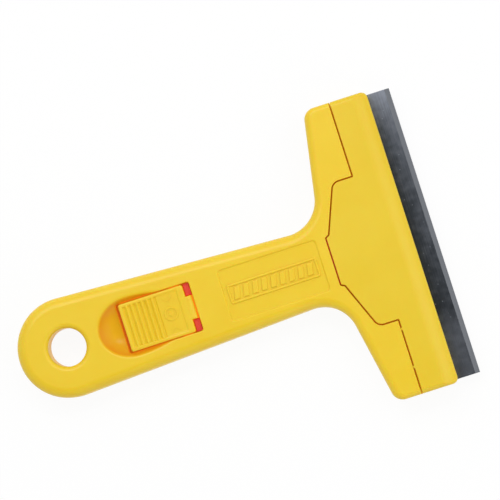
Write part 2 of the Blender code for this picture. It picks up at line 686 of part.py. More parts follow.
def clamp_lever(red, pivot):
    """The arm runs back under the button, and the flange runs forward under the plate."""
    half = LEVER_WIDTH / 2
    lever = cross_rod("clamp_lever", X_HINGE, Z_HINGE, BARREL_RADIUS, LEVER_WIDTH)
    join(lever, loft("lever_arm", [(Z_ARM, lever_arm_outline()), (Z_ARM_TOP, lever_arm_outline())]))
    flange_end = X_SEAM - FLANGE_SETBACK
    flange_start = flange_end - FLANGE_DEPTH
    join(lever, box("flange_neck", (X_HINGE, flange_start + OVERRUN), (-half + WELD, half - WELD),
                    (Z_FLANGE, Z_FLANGE_TOP)))
    join(lever, box("flange", (flange_start, flange_end), (-FLANGE_WIDTH / 2, FLANGE_WIDTH / 2),
                    (Z_FLANGE, Z_FLANGE_TOP - WELD)))
    rib_end = X_HINGE - BARREL_RADIUS / 2
    for name, side in (("arm_rib_left", 1), ("arm_rib_right", -1)):
        outer = side * (half - ARM_RIB_THICKNESS / 2)
        join(lever, box(name, (rib_end - ARM_RIB_LENGTH, rib_end),
                        sorted((outer, outer - side * ARM_RIB_THICKNESS)),
                        (Z_ARM - ARM_RIB_HEIGHT, Z_ARM + ARM_THICKNESS / 2)))
    horn_end = X_WINDOW_END - FIT_GAP
    beside_neck = BUTTON_NECK_WIDTH / 2 + FIT_GAP
    beside_window = WINDOW_WIDTH / 2 - FIT_GAP
    for name, side in (("horn_left", 1), ("horn_right", -1)):
        join(lever, box(name, (horn_end - HORN_LENGTH, horn_end),
                        sorted((side * beside_neck, side * beside_window)),
                        (Z_ARM + ARM_THICKNESS / 2, HANDLE_HEIGHT - HORN_DEPTH)))
    join(lever, post("spring_spigot", X_SPRING, 0, SPRING_PEG_RADIUS,
                     (Z_ARM - SPRING_PEG_HEIGHT / 2, Z_ARM + ARM_THICKNESS / 2), SMALL_SIDES))
    cut(lever, cross_rod("barrel_bore", X_HINGE, Z_HINGE, PIN_RADIUS + PIN_GAP, LEVER_WIDTH * 2))
    for name, side in (("boss_hole_left", 1), ("boss_hole_right", -1)):
        cut(lever, post(name, X_SEAM - JAW_SCREW_SETBACK, side * JAW_SCREW_PITCH / 2,
                        JAW_BOSS_RADIUS + FIT_GAP, (Z_PLATE - JAW_BOSS_LENGTH - FIT_GAP, Z_PLATE)))
        cut(lever, post(name + "_through", X_SEAM - JAW_SCREW_SETBACK, side * JAW_SCREW_PITCH / 2,
                        SCREW_RADIUS + FIT_GAP, (Z_FLANGE - OVERRUN, Z_PLATE), SMALL_SIDES))
    finish(lever, red, pivot)


def button_outline():
    half = WINDOW_WIDTH / 2 - FIT_GAP
    radius = WINDOW_CORNER_RADIUS
    corners = [(X_BUTTON, -half, radius, "all"), (X_BUTTON_END, -half, radius, "all")]
    return whole(corners, "all")


def grip_ribs():
    """Seven rounded bars across the tail end of the button, as one tool."""
    solid = bmesh.new()
    half = WINDOW_WIDTH / 2 - FIT_GAP - RIB_MARGIN
    profile = [(-RIB_BASE / 2, -RIB_HEIGHT / 2), (RIB_BASE / 2, -RIB_HEIGHT / 2),
               (RIB_CREST / 2, RIB_HEIGHT), (-RIB_CREST / 2, RIB_HEIGHT)]
    for step in range(RIB_COUNT):
        x = X_BUTTON + RIB_MARGIN + RIB_BASE / 2 + step * RIB_PITCH
        rings = [[solid.verts.new((x + px, y, Z_BUTTON - RIB_HEIGHT + pz)) for px, pz in profile]
                 for y in (-half, half)]
        for i in range(len(profile)):
            j = (i + 1) % len(profile)
            solid.faces.new((rings[0][i], rings[0][j], rings[1][j], rings[1][i]))
        solid.faces.new(rings[0][::-1])
        solid.faces.new(rings[1])
    return object_from("grip_ribs", solid)


def press_button(yellow, pivot):
    outline = button_outline()
    button = loft("press_button", [(Z_SKIRT, plan(outline, {})), (Z_BUTTON, plan(outline, {}))])
    inside = plan(outline, {"all": BUTTON_WALL})
    cut(button, loft("button_hollow", [(Z_SKIRT - OVERRUN, inside), (Z_BUTTON_UNDER, inside)]))
    field_half = WINDOW_WIDTH / 2 - FIT_GAP - RIB_MARGIN
    field = (X_BUTTON + RIB_MARGIN / 2, X_BUTTON + RIB_MARGIN + (RIB_COUNT - 1) * RIB_PITCH + RIB_BASE)
    cut(button, box("rib_field", field, (-field_half, field_half),
                    (Z_BUTTON - RIB_HEIGHT, Z_BUTTON + OVERRUN)))
    join(button, grip_ribs())
    panel_end = X_BUTTON_END - PANEL_SETBACK
    cut(button, box("panel", (panel_end - PANEL_LENGTH, panel_end), (-PANEL_WIDTH / 2, PANEL_WIDTH / 2),
                    (Z_BUTTON - PANEL_DEPTH, Z_BUTTON + OVERRUN)))

    half = BUTTON_NECK_WIDTH / 2
    join(button, box("button_neck", (X_BUTTON_END - BUTTON_WALL / 2, X_WINDOW_END - FIT_GAP),
                     (-half, half), (Z_AXLE, Z_BUTTON - WELD)))
    join(button, box("button_arm", (X_BUTTON_END - BUTTON_WALL / 2, X_AXLE),
                     (WELD - half, half - WELD), (Z_AXLE - AXLE_RADIUS, Z_AXLE + AXLE_RADIUS)))
    axle_length = BUTTON_NECK_WIDTH + (AXLE_EAR_THICKNESS + FIT_GAP) * 2
    join(button, cross_rod("button_axle", X_AXLE, Z_AXLE, AXLE_RADIUS, axle_length))
    join(button, box("button_foot", (X_FOOT - FOOT_LENGTH / 2, X_FOOT + FOOT_LENGTH / 2),
                     (-FOOT_WIDTH / 2, FOOT_WIDTH / 2), (Z_ARM_TOP + FIT_GAP, Z_BUTTON_UNDER + WELD)))
    ledge_top = Z_ROOF - FIT_GAP
    ledge_end = X_BUTTON_END - BUTTON_WALL
    outer = WINDOW_WIDTH / 2 + LEDGE_WIDTH
    for name, side in (("ledge_left", 1), ("ledge_right", -1)):
        join(button, box(name, (ledge_end - LEDGE_LENGTH, ledge_end),
                         sorted((side * outer, side * (WINDOW_WIDTH / 2 - FIT_GAP - BUTTON_WALL / 2))),
                         (ledge_top - LEDGE_THICKNESS, ledge_top)))
    finish(button, yellow, pivot)


def hinge_pin(zinc):
    finish(cross_rod("hinge_pin", X_HINGE, Z_HINGE, PIN_RADIUS, PIN_LENGTH), zinc)


def clamp_spring(zinc):
    """A short compression spring between the floor and the lever."""
    low = FLOOR + FIT_GAP + SPRING_WIRE_RADIUS
    high = Z_ARM - FIT_GAP - SPRING_WIRE_RADIUS
    turns = (high - low) / SPRING_PITCH
    count = int(turns * CURL_POINTS) + 1
    coil = bpy.data.curves.new("clamp_spring", "CURVE")
    coil.dimensions = "3D"
    coil.bevel_depth = SPRING_WIRE_RADIUS
    coil.bevel_resolution = 1
    coil.use_fill_caps = True
    spline = coil.splines.new("POLY")
    spline.points.add(count - 1)
    for i, point in enumerate(spline.points):
        angle = math.tau * turns * i / (count - 1)
        point.co = (X_SPRING + SPRING_RADIUS * cos(angle), SPRING_RADIUS * sin(angle),
                    low + (high - low) * i / (count - 1), 1.0)
    centre = [point.co.xyz for point in spline.points]
    apart = [(a - b).length for i, a in enumerate(centre) for b in centre[i + CURL_POINTS // 2:]]
    print("clamp_spring least gap to itself, mm:", (min(apart) - 2 * SPRING_WIRE_RADIUS) * 1000)
    piece = bpy.data.objects.new("clamp_spring", coil)
    bpy.context.scene.collection.objects.link(piece)
    coil.materials.append(zinc)


def screw_mesh(name, head_radius, head_height, length):
    """A pan-head screw that points up, with its bearing face on the origin."""
    sections = [(-head_height, circle(0, 0, head_radius - head_height / 3, ROUND_SIDES)),
                (-head_height * 2 / 3, circle(0, 0, head_radius, ROUND_SIDES)),
                (0.0, circle(0, 0, head_radius, ROUND_SIDES)),
                (0.0, circle(0, 0, SCREW_RADIUS, ROUND_SIDES)),
                (length - SCREW_RADIUS, circle(0, 0, SCREW_RADIUS, ROUND_SIDES)),
                (length, circle(0, 0, SCREW_RADIUS / 2, ROUND_SIDES))]
    blank = loft(name + "_blank", sections)
    long_side = head_radius * 3 / 5
    z_range = (-head_height - OVERRUN, CROSS_DEPTH - head_height)
    for suffix, x_half, y_half in (("_slot", long_side, CROSS_WIDTH / 2),
                                   ("_cross", CROSS_WIDTH / 2, long_side)):
        cut(blank, box(name + suffix, (-x_half, x_half), (-y_half, y_half), z_range))
    evaluated = blank.evaluated_get(bpy.context.evaluated_depsgraph_get())
    mesh = bpy.data.meshes.new_from_object(evaluated)
    mesh.name = name
    for made in [blank] + [step.object for step in blank.modifiers]:
        bpy.data.objects.remove(made, do_unlink=True)
    return mesh


def shell_screws(zinc):
    mesh = screw_mesh("shell_screw", SCREW_HEAD_RADIUS, SCREW_HEAD_HEIGHT, SCREW_LENGTH)
    for name, (x, y) in shell_screw_places().items():
        piece = add_object(name, mesh)
        piece.location = (x, y, COUNTERBORE_DEPTH - FIT_GAP)
        finish(piece, zinc)


def jaw_screws(zinc, pivot):
    mesh = screw_mesh("jaw_screw", SCREW_HEAD_RADIUS, SCREW_HEAD_HEIGHT, JAW_SCREW_LENGTH)
    for name, side in (("jaw_screw_left", 1), ("jaw_screw_right", -1)):
        piece = add_object(name, mesh)
        piece.location = (X_SEAM - JAW_SCREW_SETBACK, side * JAW_SCREW_PITCH / 2, Z_FLANGE - FIT_GAP)
        finish(piece, zinc, pivot)


clear_scene()
jaw_pivot = pivot_at("jaw_pivot", X_HINGE, Z_HINGE)
button_pivot = pivot_at("button_pivot", X_AXLE, Z_AXLE)
yellow_plastic = material("yellow_plastic", YELLOW, 0.42, 0.0)
red_plastic = material("red_plastic", RED, 0.45, 0.0)
blade_steel = material("blade_steel", STEEL, 0.35, 1.0)
zinc_plate = material("zinc_plate", ZINC, 0.35, 1.0)
upper_shell(yellow_plastic)
lower_shell(yellow_plastic)
blade(blade_steel)
clamp_jaw(yellow_plastic, jaw_pivot)
clamp_lever(red_plastic, jaw_pivot)
press_button(yellow_plastic, button_pivot)
hinge_pin(zinc_plate)
clamp_spring(zinc_plate)
shell_screws(zinc_plate)
jaw_screws(zinc_plate, jaw_pivot)
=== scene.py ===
# Dressed model of a hand scraper for glass and tiles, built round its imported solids.
# Metres, +Z up. The underside lies on Z = 0, X runs along the handle towards the blade,
# and Y runs along the blade.

import math

import bmesh
import bpy
from mathutils import Matrix, Vector


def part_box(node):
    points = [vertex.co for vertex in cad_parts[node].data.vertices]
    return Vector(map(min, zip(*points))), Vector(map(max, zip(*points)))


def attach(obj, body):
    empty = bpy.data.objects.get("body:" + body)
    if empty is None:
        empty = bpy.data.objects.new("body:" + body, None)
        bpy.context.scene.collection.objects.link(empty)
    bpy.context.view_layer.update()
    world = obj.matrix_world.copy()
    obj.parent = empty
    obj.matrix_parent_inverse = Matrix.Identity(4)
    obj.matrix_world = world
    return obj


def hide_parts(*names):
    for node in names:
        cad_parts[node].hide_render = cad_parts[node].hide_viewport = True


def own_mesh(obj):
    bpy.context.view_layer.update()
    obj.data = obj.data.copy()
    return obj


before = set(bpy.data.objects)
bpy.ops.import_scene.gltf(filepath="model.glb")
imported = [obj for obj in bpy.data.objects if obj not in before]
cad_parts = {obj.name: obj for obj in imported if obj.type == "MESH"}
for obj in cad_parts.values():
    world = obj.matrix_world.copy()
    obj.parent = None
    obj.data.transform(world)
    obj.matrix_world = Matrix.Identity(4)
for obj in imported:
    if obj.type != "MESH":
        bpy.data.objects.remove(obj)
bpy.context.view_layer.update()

MM = 0.001

# Lower half of the handle
# Moulded in ABS with walls of 2 mm. It carries the blade's bed at its front, the ears of the
# hinge pin and the sleeves of three screws, and a lip round its edge locates the upper half.
# Outlines are stacked into a solid, which is then hollowed and drilled.

base_low, base_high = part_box("lower_shell")
X_TAIL = base_low.x
X_FRONT = base_high.x
HALF_HEAD = base_high.y
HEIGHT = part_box("upper_shell")[1].z
X_SEAM = X_FRONT - 12.8 * MM
X_SHOULDER = X_SEAM - 7.0 * MM
X_JOG = X_SHOULDER - 6.5 * MM
X_HINGE_SEAM = X_JOG - 1.3 * MM
X_NECK = X_HINGE_SEAM - 1.34 * MM
X_HINGE = X_HINGE_SEAM - 4.6 * MM
X_WINDOW = X_TAIL + 36.35 * MM
X_WINDOW_END = X_WINDOW + 25.9 * MM
X_SPRING = X_HINGE - 27.0 * MM
TAIL_RADIUS = 16.9 * MM
TAPER = math.radians(2.8)
SWEEP = math.radians(10.4)
NECK_FILLET = 12.0 * MM
WING_CORNER = 4.0 * MM
FRONT_CORNER = 2.0 * MM
WALL = 2.0 * MM
FLOOR = 2.0 * MM
ROOF = 2.2 * MM
PARTING = 7.0 * MM
GAP = 0.3 * MM
PIN_GAP = 0.1 * MM
OVERRUN = 1.0 * MM
BASE_ROUNDING = 2.0 * MM
PARTING_ROUNDING = 0.2 * MM
BED = 4.4 * MM
NOSE_RUN = 7.2 * MM
NOSE_HEIGHT = 2.6 * MM
NOSE_ROUNDING = 0.6 * MM
LIP_INSET = 1.1 * MM
LIP_HEIGHT = 1.2 * MM
TAB_HALF = 25.1 * MM
SEAM_GAP = 0.5 * MM
SEAM_WALL = 1.5 * MM
PIN_RADIUS = 1.5 * MM
BARREL_RADIUS = 3.0 * MM
LEVER_WIDTH = 15.8 * MM
EAR_HALF = 3.0 * MM
EAR_THICKNESS = 3.4 * MM
STOP_RIB = 1.3 * MM
STOP_RIB_HEIGHT = 1.8 * MM
BLADE_HALF = 50.0 * MM
SPRING_PEG_RADIUS = 2.4 * MM
SPRING_PEG_HEIGHT = 1.6 * MM
ROOF_GAP = 0.4 * MM             # left above the lever's barrel and the button's axle
Z_ROOF = HEIGHT - ROOF
Z_HINGE = Z_ROOF - ROOF_GAP - BARREL_RADIUS
HOLE_RADIUS = 6.45 * MM
HOLE_ROUNDING = 1.7 * MM
X_HOLE = X_TAIL + TAIL_RADIUS
PEG_PITCH = 28.0 * MM
PEG_RADIUS = 1.9 * MM
PEG_HEIGHT = 2.1 * MM
PEG_CHAMFER = 0.3 * MM
X_PEGS = X_FRONT - 7.0 * MM
X_BLADE_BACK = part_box("blade")[0].x
COUNTERBORE_RADIUS = 2.9 * MM
COUNTERBORE_DEPTH = 2.6 * MM
COUNTERBORE_EASE = 0.3 * MM
SCREW_RADIUS = 1.1 * MM
SLEEVE_RADIUS = 3.9 * MM
X_WING_SCREW = X_SEAM - 6.4 * MM
Y_WING_SCREW = HALF_HEAD - 17.0 * MM
SHELL_SCREWS = [(X_WINDOW - 5.0 * MM, 0.0), (X_WING_SCREW, Y_WING_SCREW), (X_WING_SCREW, -Y_WING_SCREW)]
# Painted warm shade and glow on the inside of the floor, seen through the gaps
FLOOR_PAINTED_WARMTH = 0.12
TAIL_FLOOR_PAINTED_WARMTH = 0.6
ARC_FINENESS = 5.0              # arc steps per radian, on a radius of 1 mm
ROUND = 64


def heading(a, b):
    length = math.hypot(b[0] - a[0], b[1] - a[1])
    return ((b[0] - a[0]) / length, (b[1] - a[1]) / length)


def meeting(a, along_a, b, along_b):
    """Where two lines meet, each given by a point and a direction."""
    turn = along_a[0] * along_b[1] - along_a[1] * along_b[0]
    reach = ((b[0] - a[0]) * along_b[1] - (b[1] - a[1]) * along_b[0]) / turn
    return (a[0] + reach * along_a[0], a[1] + reach * along_a[1])


def bend(corner, before, after, radius, nominal):
    """The arc that rounds a corner, cut as finely as its nominal radius asks."""
    turn = math.atan2(before[0] * after[1] - before[1] * after[0],
                      before[0] * after[0] + before[1] * after[1])
    if nominal == 0:
        return [corner]
    steps = max(3, math.ceil(abs(turn) * math.sqrt(nominal / MM) * ARC_FINENESS))
    side = math.copysign(1.0, turn)
    reach = radius * math.tan(abs(turn) / 2)
    start = (corner[0] - before[0] * reach, corner[1] - before[1] * reach)
    centre = (start[0] - side * before[1] * radius, start[1] + side * before[0] * radius)
    first = math.atan2(start[1] - centre[1], start[0] - centre[0])
    return [(centre[0] + radius * math.cos(first + turn * i / steps),
             centre[1] + radius * math.sin(first + turn * i / steps)) for i in range(steps + 1)]


def traced(outline, insets):
    """Points of an outline whose edges are drawn in, each kind of edge by its own inset."""
    count = len(outline)
    along = [heading(outline[i], outline[(i + 1) % count]) for i in range(count)]
    moves = [insets.get(corner[3], 0.0) for corner in outline]
    points = []
    for i, corner in enumerate(outline):
        starts = [(outline[k][0] - along[k][1] * moves[k], outline[k][1] + along[k][0] * moves[k])
                  for k in (i - 1, i)]
        met = meeting(starts[0], along[i - 1], starts[1], along[i])
        turn = along[i - 1][0] * along[i][1] - along[i - 1][1] * along[i][0]
        inner = corner[2] - math.copysign((moves[i - 1] + moves[i]) / 2, turn)
        points += bend(met, along[i - 1], along[i], max(inner, PIN_GAP), corner[2])
    return points


def edge(*corners):
    """The side view of an edge from its lower face to its upper: insets at heights, rounded."""
    flat = [(corners[0][0] + OVERRUN, corners[0][1], 0)]
    flat += [*corners, (corners[-1][0] + OVERRUN, corners[-1][1], 0)]
    points = []
    for before, corner, after in zip(flat, flat[1:], flat[2:]):
        points += bend(corner[:2], heading(before, corner), heading(corner, after), corner[2], corner[2])
    return points


def inset_at(points, z):
    for (low_inset, low_z), (high_inset, high_z) in zip(points, points[1:]):
        if z <= high_z:
            share = (z - low_z) / (high_z - low_z)
            return low_inset + (high_inset - low_inset) * share
    return points[-1][0]


def link(name, mesh):
    made = bpy.data.objects.new(name, mesh)
    bpy.context.scene.collection.objects.link(made)
    return made


def solid_from(name, solid):
    bmesh.ops.remove_doubles(solid, verts=solid.verts, dist=MM / 1000)
    bmesh.ops.recalc_face_normals(solid, faces=solid.faces)
    mesh = bpy.data.meshes.new(name)
    solid.to_mesh(mesh)
    solid.free()
    return link(name, mesh)


def stacked(name, rings):
    """A closed solid through rings of points, capped at both ends."""
    solid = bmesh.new()
    rows = [[solid.verts.new(point) for point in ring] for ring in rings]
    for low, high in zip(rows, rows[1:]):
        for i in range(len(low)):
            j = (i + 1) % len(low)
            solid.faces.new((low[i], low[j], high[j], high[i]))
    solid.faces.new(rows[0][::-1])
    solid.faces.new(rows[-1])
    return solid_from(name, solid)


def moulding(name, outline, edges):
    """A solid from an outline, with its own rounded edge for each kind of side."""
    heights = sorted({round(z / MM, 4) * MM for points in edges.values() for _, z in points})
    rings = []
    for z in heights:
        insets = {kind: inset_at(points, z) for kind, points in edges.items()}
        rings.append([(x, y, z) for x, y in traced(outline, insets)])
    return stacked(name, rings)


def slab(name, outline, z_range, insets):
    return stacked(name, [[(x, y, z) for x, y in traced(outline, insets)] for z in z_range])


def block(name, x_range, y_range, z_range):
    (x0, x1), (y0, y1) = sorted(x_range), sorted(y_range)
    ring = [(x0, y0), (x1, y0), (x1, y1), (x0, y1)]
    return stacked(name, [[(x, y, z) for x, y in ring] for z in z_range])


def turned(name, x, y, profile, sides=ROUND):
    """A round solid about an upright axis, from radii at heights."""
    return stacked(name, [[(x + radius * math.cos(math.tau * i / sides),
                            y + radius * math.sin(math.tau * i / sides), z)
                           for i in range(sides)] for radius, z in profile])


def cross_bar(name, x, z, radius, half_length, chamfer=0.0):
    """A round bar along Y, whose ends are chamfered if that is asked for."""
    profile = [(radius, -half_length), (radius, half_length)]
    if chamfer:
        profile = [(radius - chamfer, -half_length), (radius, chamfer - half_length),
                   (radius, half_length - chamfer), (radius - chamfer, half_length)]
    return stacked(name, [[(x + wide * math.cos(math.tau * i / ROUND), y,
                            z - wide * math.sin(math.tau * i / ROUND))
                           for i in range(ROUND)] for wide, y in profile])


def peg(name, x, y, radius, low, high):
    return turned(name, x, y, [(radius, low), (radius, high - PEG_CHAMFER), (radius - PEG_CHAMFER, high)])


def combine(target, operation, *tools):
    for tool in tools:
        step = target.modifiers.new(tool.name, "BOOLEAN")
        step.operation = operation
        step.solver = "EXACT"
        step.object = tool


def cut(target, *tools):
    combine(target, "DIFFERENCE", *tools)


def join(target, *tools):
    combine(target, "UNION", *tools)


def settle(piece):
    """Turns a piece and the tools that shaped it into one plain mesh."""
    evaluated = piece.evaluated_get(bpy.context.evaluated_depsgraph_get())
    mesh = bpy.data.meshes.new_from_object(evaluated)
    tools = {step.object for step in piece.modifiers if step.type == "BOOLEAN"}
    piece.modifiers.clear()
    piece.data = mesh
    for tool in tools:
        bpy.data.objects.remove(tool, do_unlink=True)


def smoothed(piece, angle=math.radians(35)):
    """Smooth shading whose flat faces stay flat right up to their rounded edges."""
    piece.data.shade_smooth()
    piece.data.set_sharp_from_angle(angle=angle)
    weighing = piece.modifiers.new("flat_faces", "WEIGHTED_NORMAL")
    weighing.keep_sharp = True
    weighing.weight = 80
    settle(piece)


def mark_painted_warmth(piece, share_at):
    """Notes on each point of a piece, from 0 to 1, its painted warm shade, painted glow and polish."""
    thin = piece.data.attributes.new("thin", "FLOAT", "POINT")
    for vert, share in zip(piece.data.vertices, thin.data):
        share.value = share_at(vert)


def dressed(piece, finish, body, slot, *nodes):
    piece.data.materials.clear()
    piece.data.materials.append(finish)
    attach(piece, body)
    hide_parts(*nodes)


def rgb(code):
    """A linear colour from an sRGB hex value."""
    parts = [int(code[i:i + 2], 16) / 255 for i in (1, 3, 5)]
    return (*(c / 12.92 if c <= 0.04045 else ((c + 0.055) / 1.055) ** 2.4 for c in parts), 1.0)


def feed(tree, node, inputs):
    """Sets a node's inputs. A socket is linked, and so is the first output of a node."""
    for place, value in inputs.items():
        if isinstance(value, bpy.types.Node):
            value = value.outputs[0]
        if isinstance(value, bpy.types.NodeSocket):
            tree.links.new(value, node.inputs[place])
        else:
            node.inputs[place].default_value = value


def add(tree, kind, inputs=None, **settings):
    made = tree.nodes.new(kind)
    for setting, value in settings.items():
        setattr(made, setting, value)
    feed(tree, made, inputs or {})
    return made


def new_material(name):
    finish = bpy.data.materials.new(name)
    finish.use_nodes = True
    return finish, finish.node_tree


SCATTER_REACH = (1.0, 0.4, 0.05)  # of red, green and blue light, against each other


def abs_plastic(name, colour, pale, deep, glow, gloss):
    """Moulded ABS, even and satin, with slow flow marks and a fine spark-eroded grain.

    It takes its deep colour, a painted warm shade, and is more polished where the attribute thin
    says so. Where neighbours close it in, as in the seams, it has a dim painted glow that stands
    in for light coming through the walls.
    """
    finish, tree = new_material(name)
    place = add(tree, "ShaderNodeTexCoord").outputs["Object"]
    flow = add(tree, "ShaderNodeTexNoise", {"Vector": place, "Scale": 1 / (22 * MM), "Detail": 3.0})
    drift = add(tree, "ShaderNodeMapRange", {"Value": flow, 1: 0.35, 2: 0.65})
    tone = add(tree, "ShaderNodeMix", {0: drift, 6: rgb(colour), 7: rgb(pale)}, data_type="RGBA")
    thin = add(tree, "ShaderNodeAttribute", attribute_name="thin")
    # Painted warm shade: the deep colour is mixed in as far as thin goes
    painted_warm_shade = add(tree, "ShaderNodeMix", {
        0: thin.outputs["Fac"], 6: tone.outputs[2], 7: rgb(deep)}, data_type="RGBA")
    # Real grain is about 0.05 mm across; it is drawn at 0.4 mm, so that it shows
    grain = add(tree, "ShaderNodeTexNoise", {"Vector": place, "Scale": 1 / (0.4 * MM), "Detail": 2.0})
    rub = add(tree, "ShaderNodeTexNoise", {"Vector": place, "Scale": 1 / (6 * MM), "Detail": 5.0})
    mixed = add(tree, "ShaderNodeMath", {0: grain, 1: rub}, operation="MULTIPLY")
    sheen = add(tree, "ShaderNodeMapRange", {
        "Value": mixed, 1: 0.1, 2: 0.45, 3: gloss - 0.05, 4: gloss + 0.07})
    relief = add(tree, "ShaderNodeBump", {"Height": grain, "Strength": 0.25, "Distance": 0.012 * MM})
    smooth = add(tree, "ShaderNodeMapRange", {"Value": thin.outputs["Fac"], 2: 0.3})
    polish = add(tree, "ShaderNodeMix", {0: smooth, 2: sheen, 3: 0.2})
    dull = add(tree, "ShaderNodeMapRange", {"Value": smooth, 3: 0.42, 4: 0.09})
    # Painted glow: emission where neighbours close the surface in, stronger where thin is high
    open_share = add(tree, "ShaderNodeAmbientOcclusion", {"Distance": 14 * MM}, samples=8).outputs["AO"]
    closed = add(tree, "ShaderNodeMapRange", {"Value": open_share, 1: 0.5, 2: 0.1})
    painted_glow_share = add(tree, "ShaderNodeMapRange", {"Value": thin.outputs["Fac"], 3: 0.6, 4: 3.0})
    painted_glow = add(tree, "ShaderNodeMath", {0: closed, 1: painted_glow_share}, operation="MULTIPLY")
    feed(tree, tree.nodes["Principled BSDF"], {
        "Base Color": painted_warm_shade.outputs[2], "Roughness": polish, "IOR": 1.53,
        "Specular IOR Level": dull, "Normal": relief,
        "Subsurface Weight": 0.3, "Subsurface Radius": SCATTER_REACH, "Subsurface Scale": 1.6 * MM,
        "Emission Color": rgb(glow), "Emission Strength": painted_glow})
    return finish


def mirrored(half, closing):
    """Adds the +Y half. A corner is x, y, radius and the kind of the edge that leaves it."""
    kinds = [closing] + [corner[3] for corner in half[:-1]]
    return half + [(x, -y, radius, kind) for (x, y, radius, _), kind in zip(half, kinds)][::-1]


tail_half = TAIL_RADIUS * (1 + math.sin(TAPER)) / math.cos(TAPER)
neck_half = tail_half - (X_NECK - X_TAIL) * math.tan(TAPER)
x_wing = X_NECK + (HALF_HEAD - neck_half) * math.tan(SWEEP)
grip_corners = [(X_TAIL, -tail_half, TAIL_RADIUS, "grip"), (X_NECK, -neck_half, NECK_FILLET, "wing"),
                (x_wing, -HALF_HEAD, WING_CORNER, "end")]
body_outline = mirrored(grip_corners + [(X_FRONT, -HALF_HEAD, FRONT_CORNER, "front")], "grip")


def hole_cutter(name):
    """The hanging hole, opening out in a wide soft lip at both faces."""
    lip = edge((0, 0, HOLE_ROUNDING), (0, HEIGHT, HOLE_ROUNDING))
    profile = [(HOLE_RADIUS + inset, z) for inset, z in lip]
    wide = HOLE_RADIUS + HOLE_ROUNDING
    return turned(name, X_HOLE, 0.0, [(wide, -OVERRUN), *profile, (wide, HEIGHT + OVERRUN)], ROUND * 2)


weld = 0.001 * MM
z_top = PARTING - GAP / 2
side_edge = edge((0, 0, BASE_ROUNDING), (0, z_top, PARTING_ROUNDING))
nose_edge = edge((NOSE_RUN, 0, NOSE_ROUNDING), (0, NOSE_HEIGHT, NOSE_ROUNDING), (0, z_top, PARTING_ROUNDING))
base = moulding("handle_base", body_outline,
                {"grip": side_edge, "wing": side_edge, "end": side_edge, "front": nose_edge})
lip_insets = {kind: LIP_INSET for kind in ("grip", "wing", "end", "front")}
join(base, slab("locating_lip", body_outline, (z_top - LIP_HEIGHT, PARTING + LIP_HEIGHT), lip_insets))
hollow = {"grip": WALL, "wing": WALL, "end": WALL, "front": X_FRONT - X_SEAM + WALL}
cut(base, slab("lower_hollow", body_outline, (FLOOR, HEIGHT), hollow),
    block("bed_step", (X_SEAM - SEAM_GAP / 2, X_FRONT + OVERRUN),
          (-HALF_HEAD - OVERRUN, HALF_HEAD + OVERRUN), (BED, HEIGHT)),
    block("tab_step", (X_SEAM - WALL - SEAM_GAP, X_FRONT), (SEAM_GAP - TAB_HALF, TAB_HALF - SEAM_GAP),
          (BED, HEIGHT)))
rib_end = X_BLADE_BACK - GAP
join(base, block("stop_rib", (rib_end - STOP_RIB, rib_end), (-BLADE_HALF, BLADE_HALF),
                 (BED - FLOOR, BED + STOP_RIB_HEIGHT)))
for step in (-1, 0, 1):
    join(base, peg(f"peg_{step}", X_PEGS, step * PEG_PITCH, PEG_RADIUS, BED - FLOOR, BED + PEG_HEIGHT))
for side in (-1, 1):
    ear = LEVER_WIDTH / 2 + GAP
    join(base, block(f"pin_ear_{side}", (X_HINGE - EAR_HALF, X_HINGE + EAR_HALF),
                     (side * ear, side * (ear + EAR_THICKNESS)), (FLOOR / 2, Z_HINGE + BARREL_RADIUS)))
join(base, peg("spring_peg", X_SPRING, 0.0, SPRING_PEG_RADIUS, FLOOR / 2, FLOOR + SPRING_PEG_HEIGHT),
     turned("hole_tube", X_HOLE, 0.0, [(HOLE_RADIUS + WALL, FLOOR / 2), (HOLE_RADIUS + WALL, z_top)]))
for i, (x, y) in enumerate(SHELL_SCREWS):
    join(base, turned(f"sleeve_{i}", x, y, [(SLEEVE_RADIUS, FLOOR / 2), (SLEEVE_RADIUS, z_top)]))
cut(base, hole_cutter("lower_hole"),
    cross_bar("pin_bore", X_HINGE, Z_HINGE, PIN_RADIUS + PIN_GAP, LEVER_WIDTH / 2 + 2 * EAR_THICKNESS))
mouth = COUNTERBORE_RADIUS + COUNTERBORE_EASE
slight = 0.3 * COUNTERBORE_EASE
clearance = SCREW_RADIUS + GAP
for i, (x, y) in enumerate(SHELL_SCREWS):
    cut(base, turned(f"counterbore_{i}", x, y, [
        (mouth, -OVERRUN), (mouth, 0), (COUNTERBORE_RADIUS + slight, slight),
        (COUNTERBORE_RADIUS, COUNTERBORE_EASE), (COUNTERBORE_RADIUS, COUNTERBORE_DEPTH),
        (clearance, COUNTERBORE_DEPTH), (clearance, HEIGHT)]))
settle(base)


def floor_painted_warmth(vert):
    """Inside, the floor gets a painted warm shade and glow, and most of it behind the spring."""
    inside = abs(vert.co.z - FLOOR) < weld and vert.normal.z > 0.3
    return inside * (TAIL_FLOOR_PAINTED_WARMTH if vert.co.x < X_SPRING else FLOOR_PAINTED_WARMTH)


mark_painted_warmth(base, floor_painted_warmth)
smoothed(base)
# The deep orange is the colour of the painted warm shade, the dark brown that of the painted glow
yellow_abs = abs_plastic("moulded_yellow_abs", "#e5c21b", "#e7c625", "#d9820c", "#6c3e0c", 0.40)
dressed(base, yellow_abs, "handle", "yellow_plastic", "lower_shell")

# Hinge pin
# A plain steel pin, cut from drawn wire and zinc plated, that the red lever swings on. Its ends
# are chamfered so that it can be pressed through both ears.

PIN_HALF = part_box("hinge_pin")[1].y
PIN_CHAMFER = 0.3 * MM


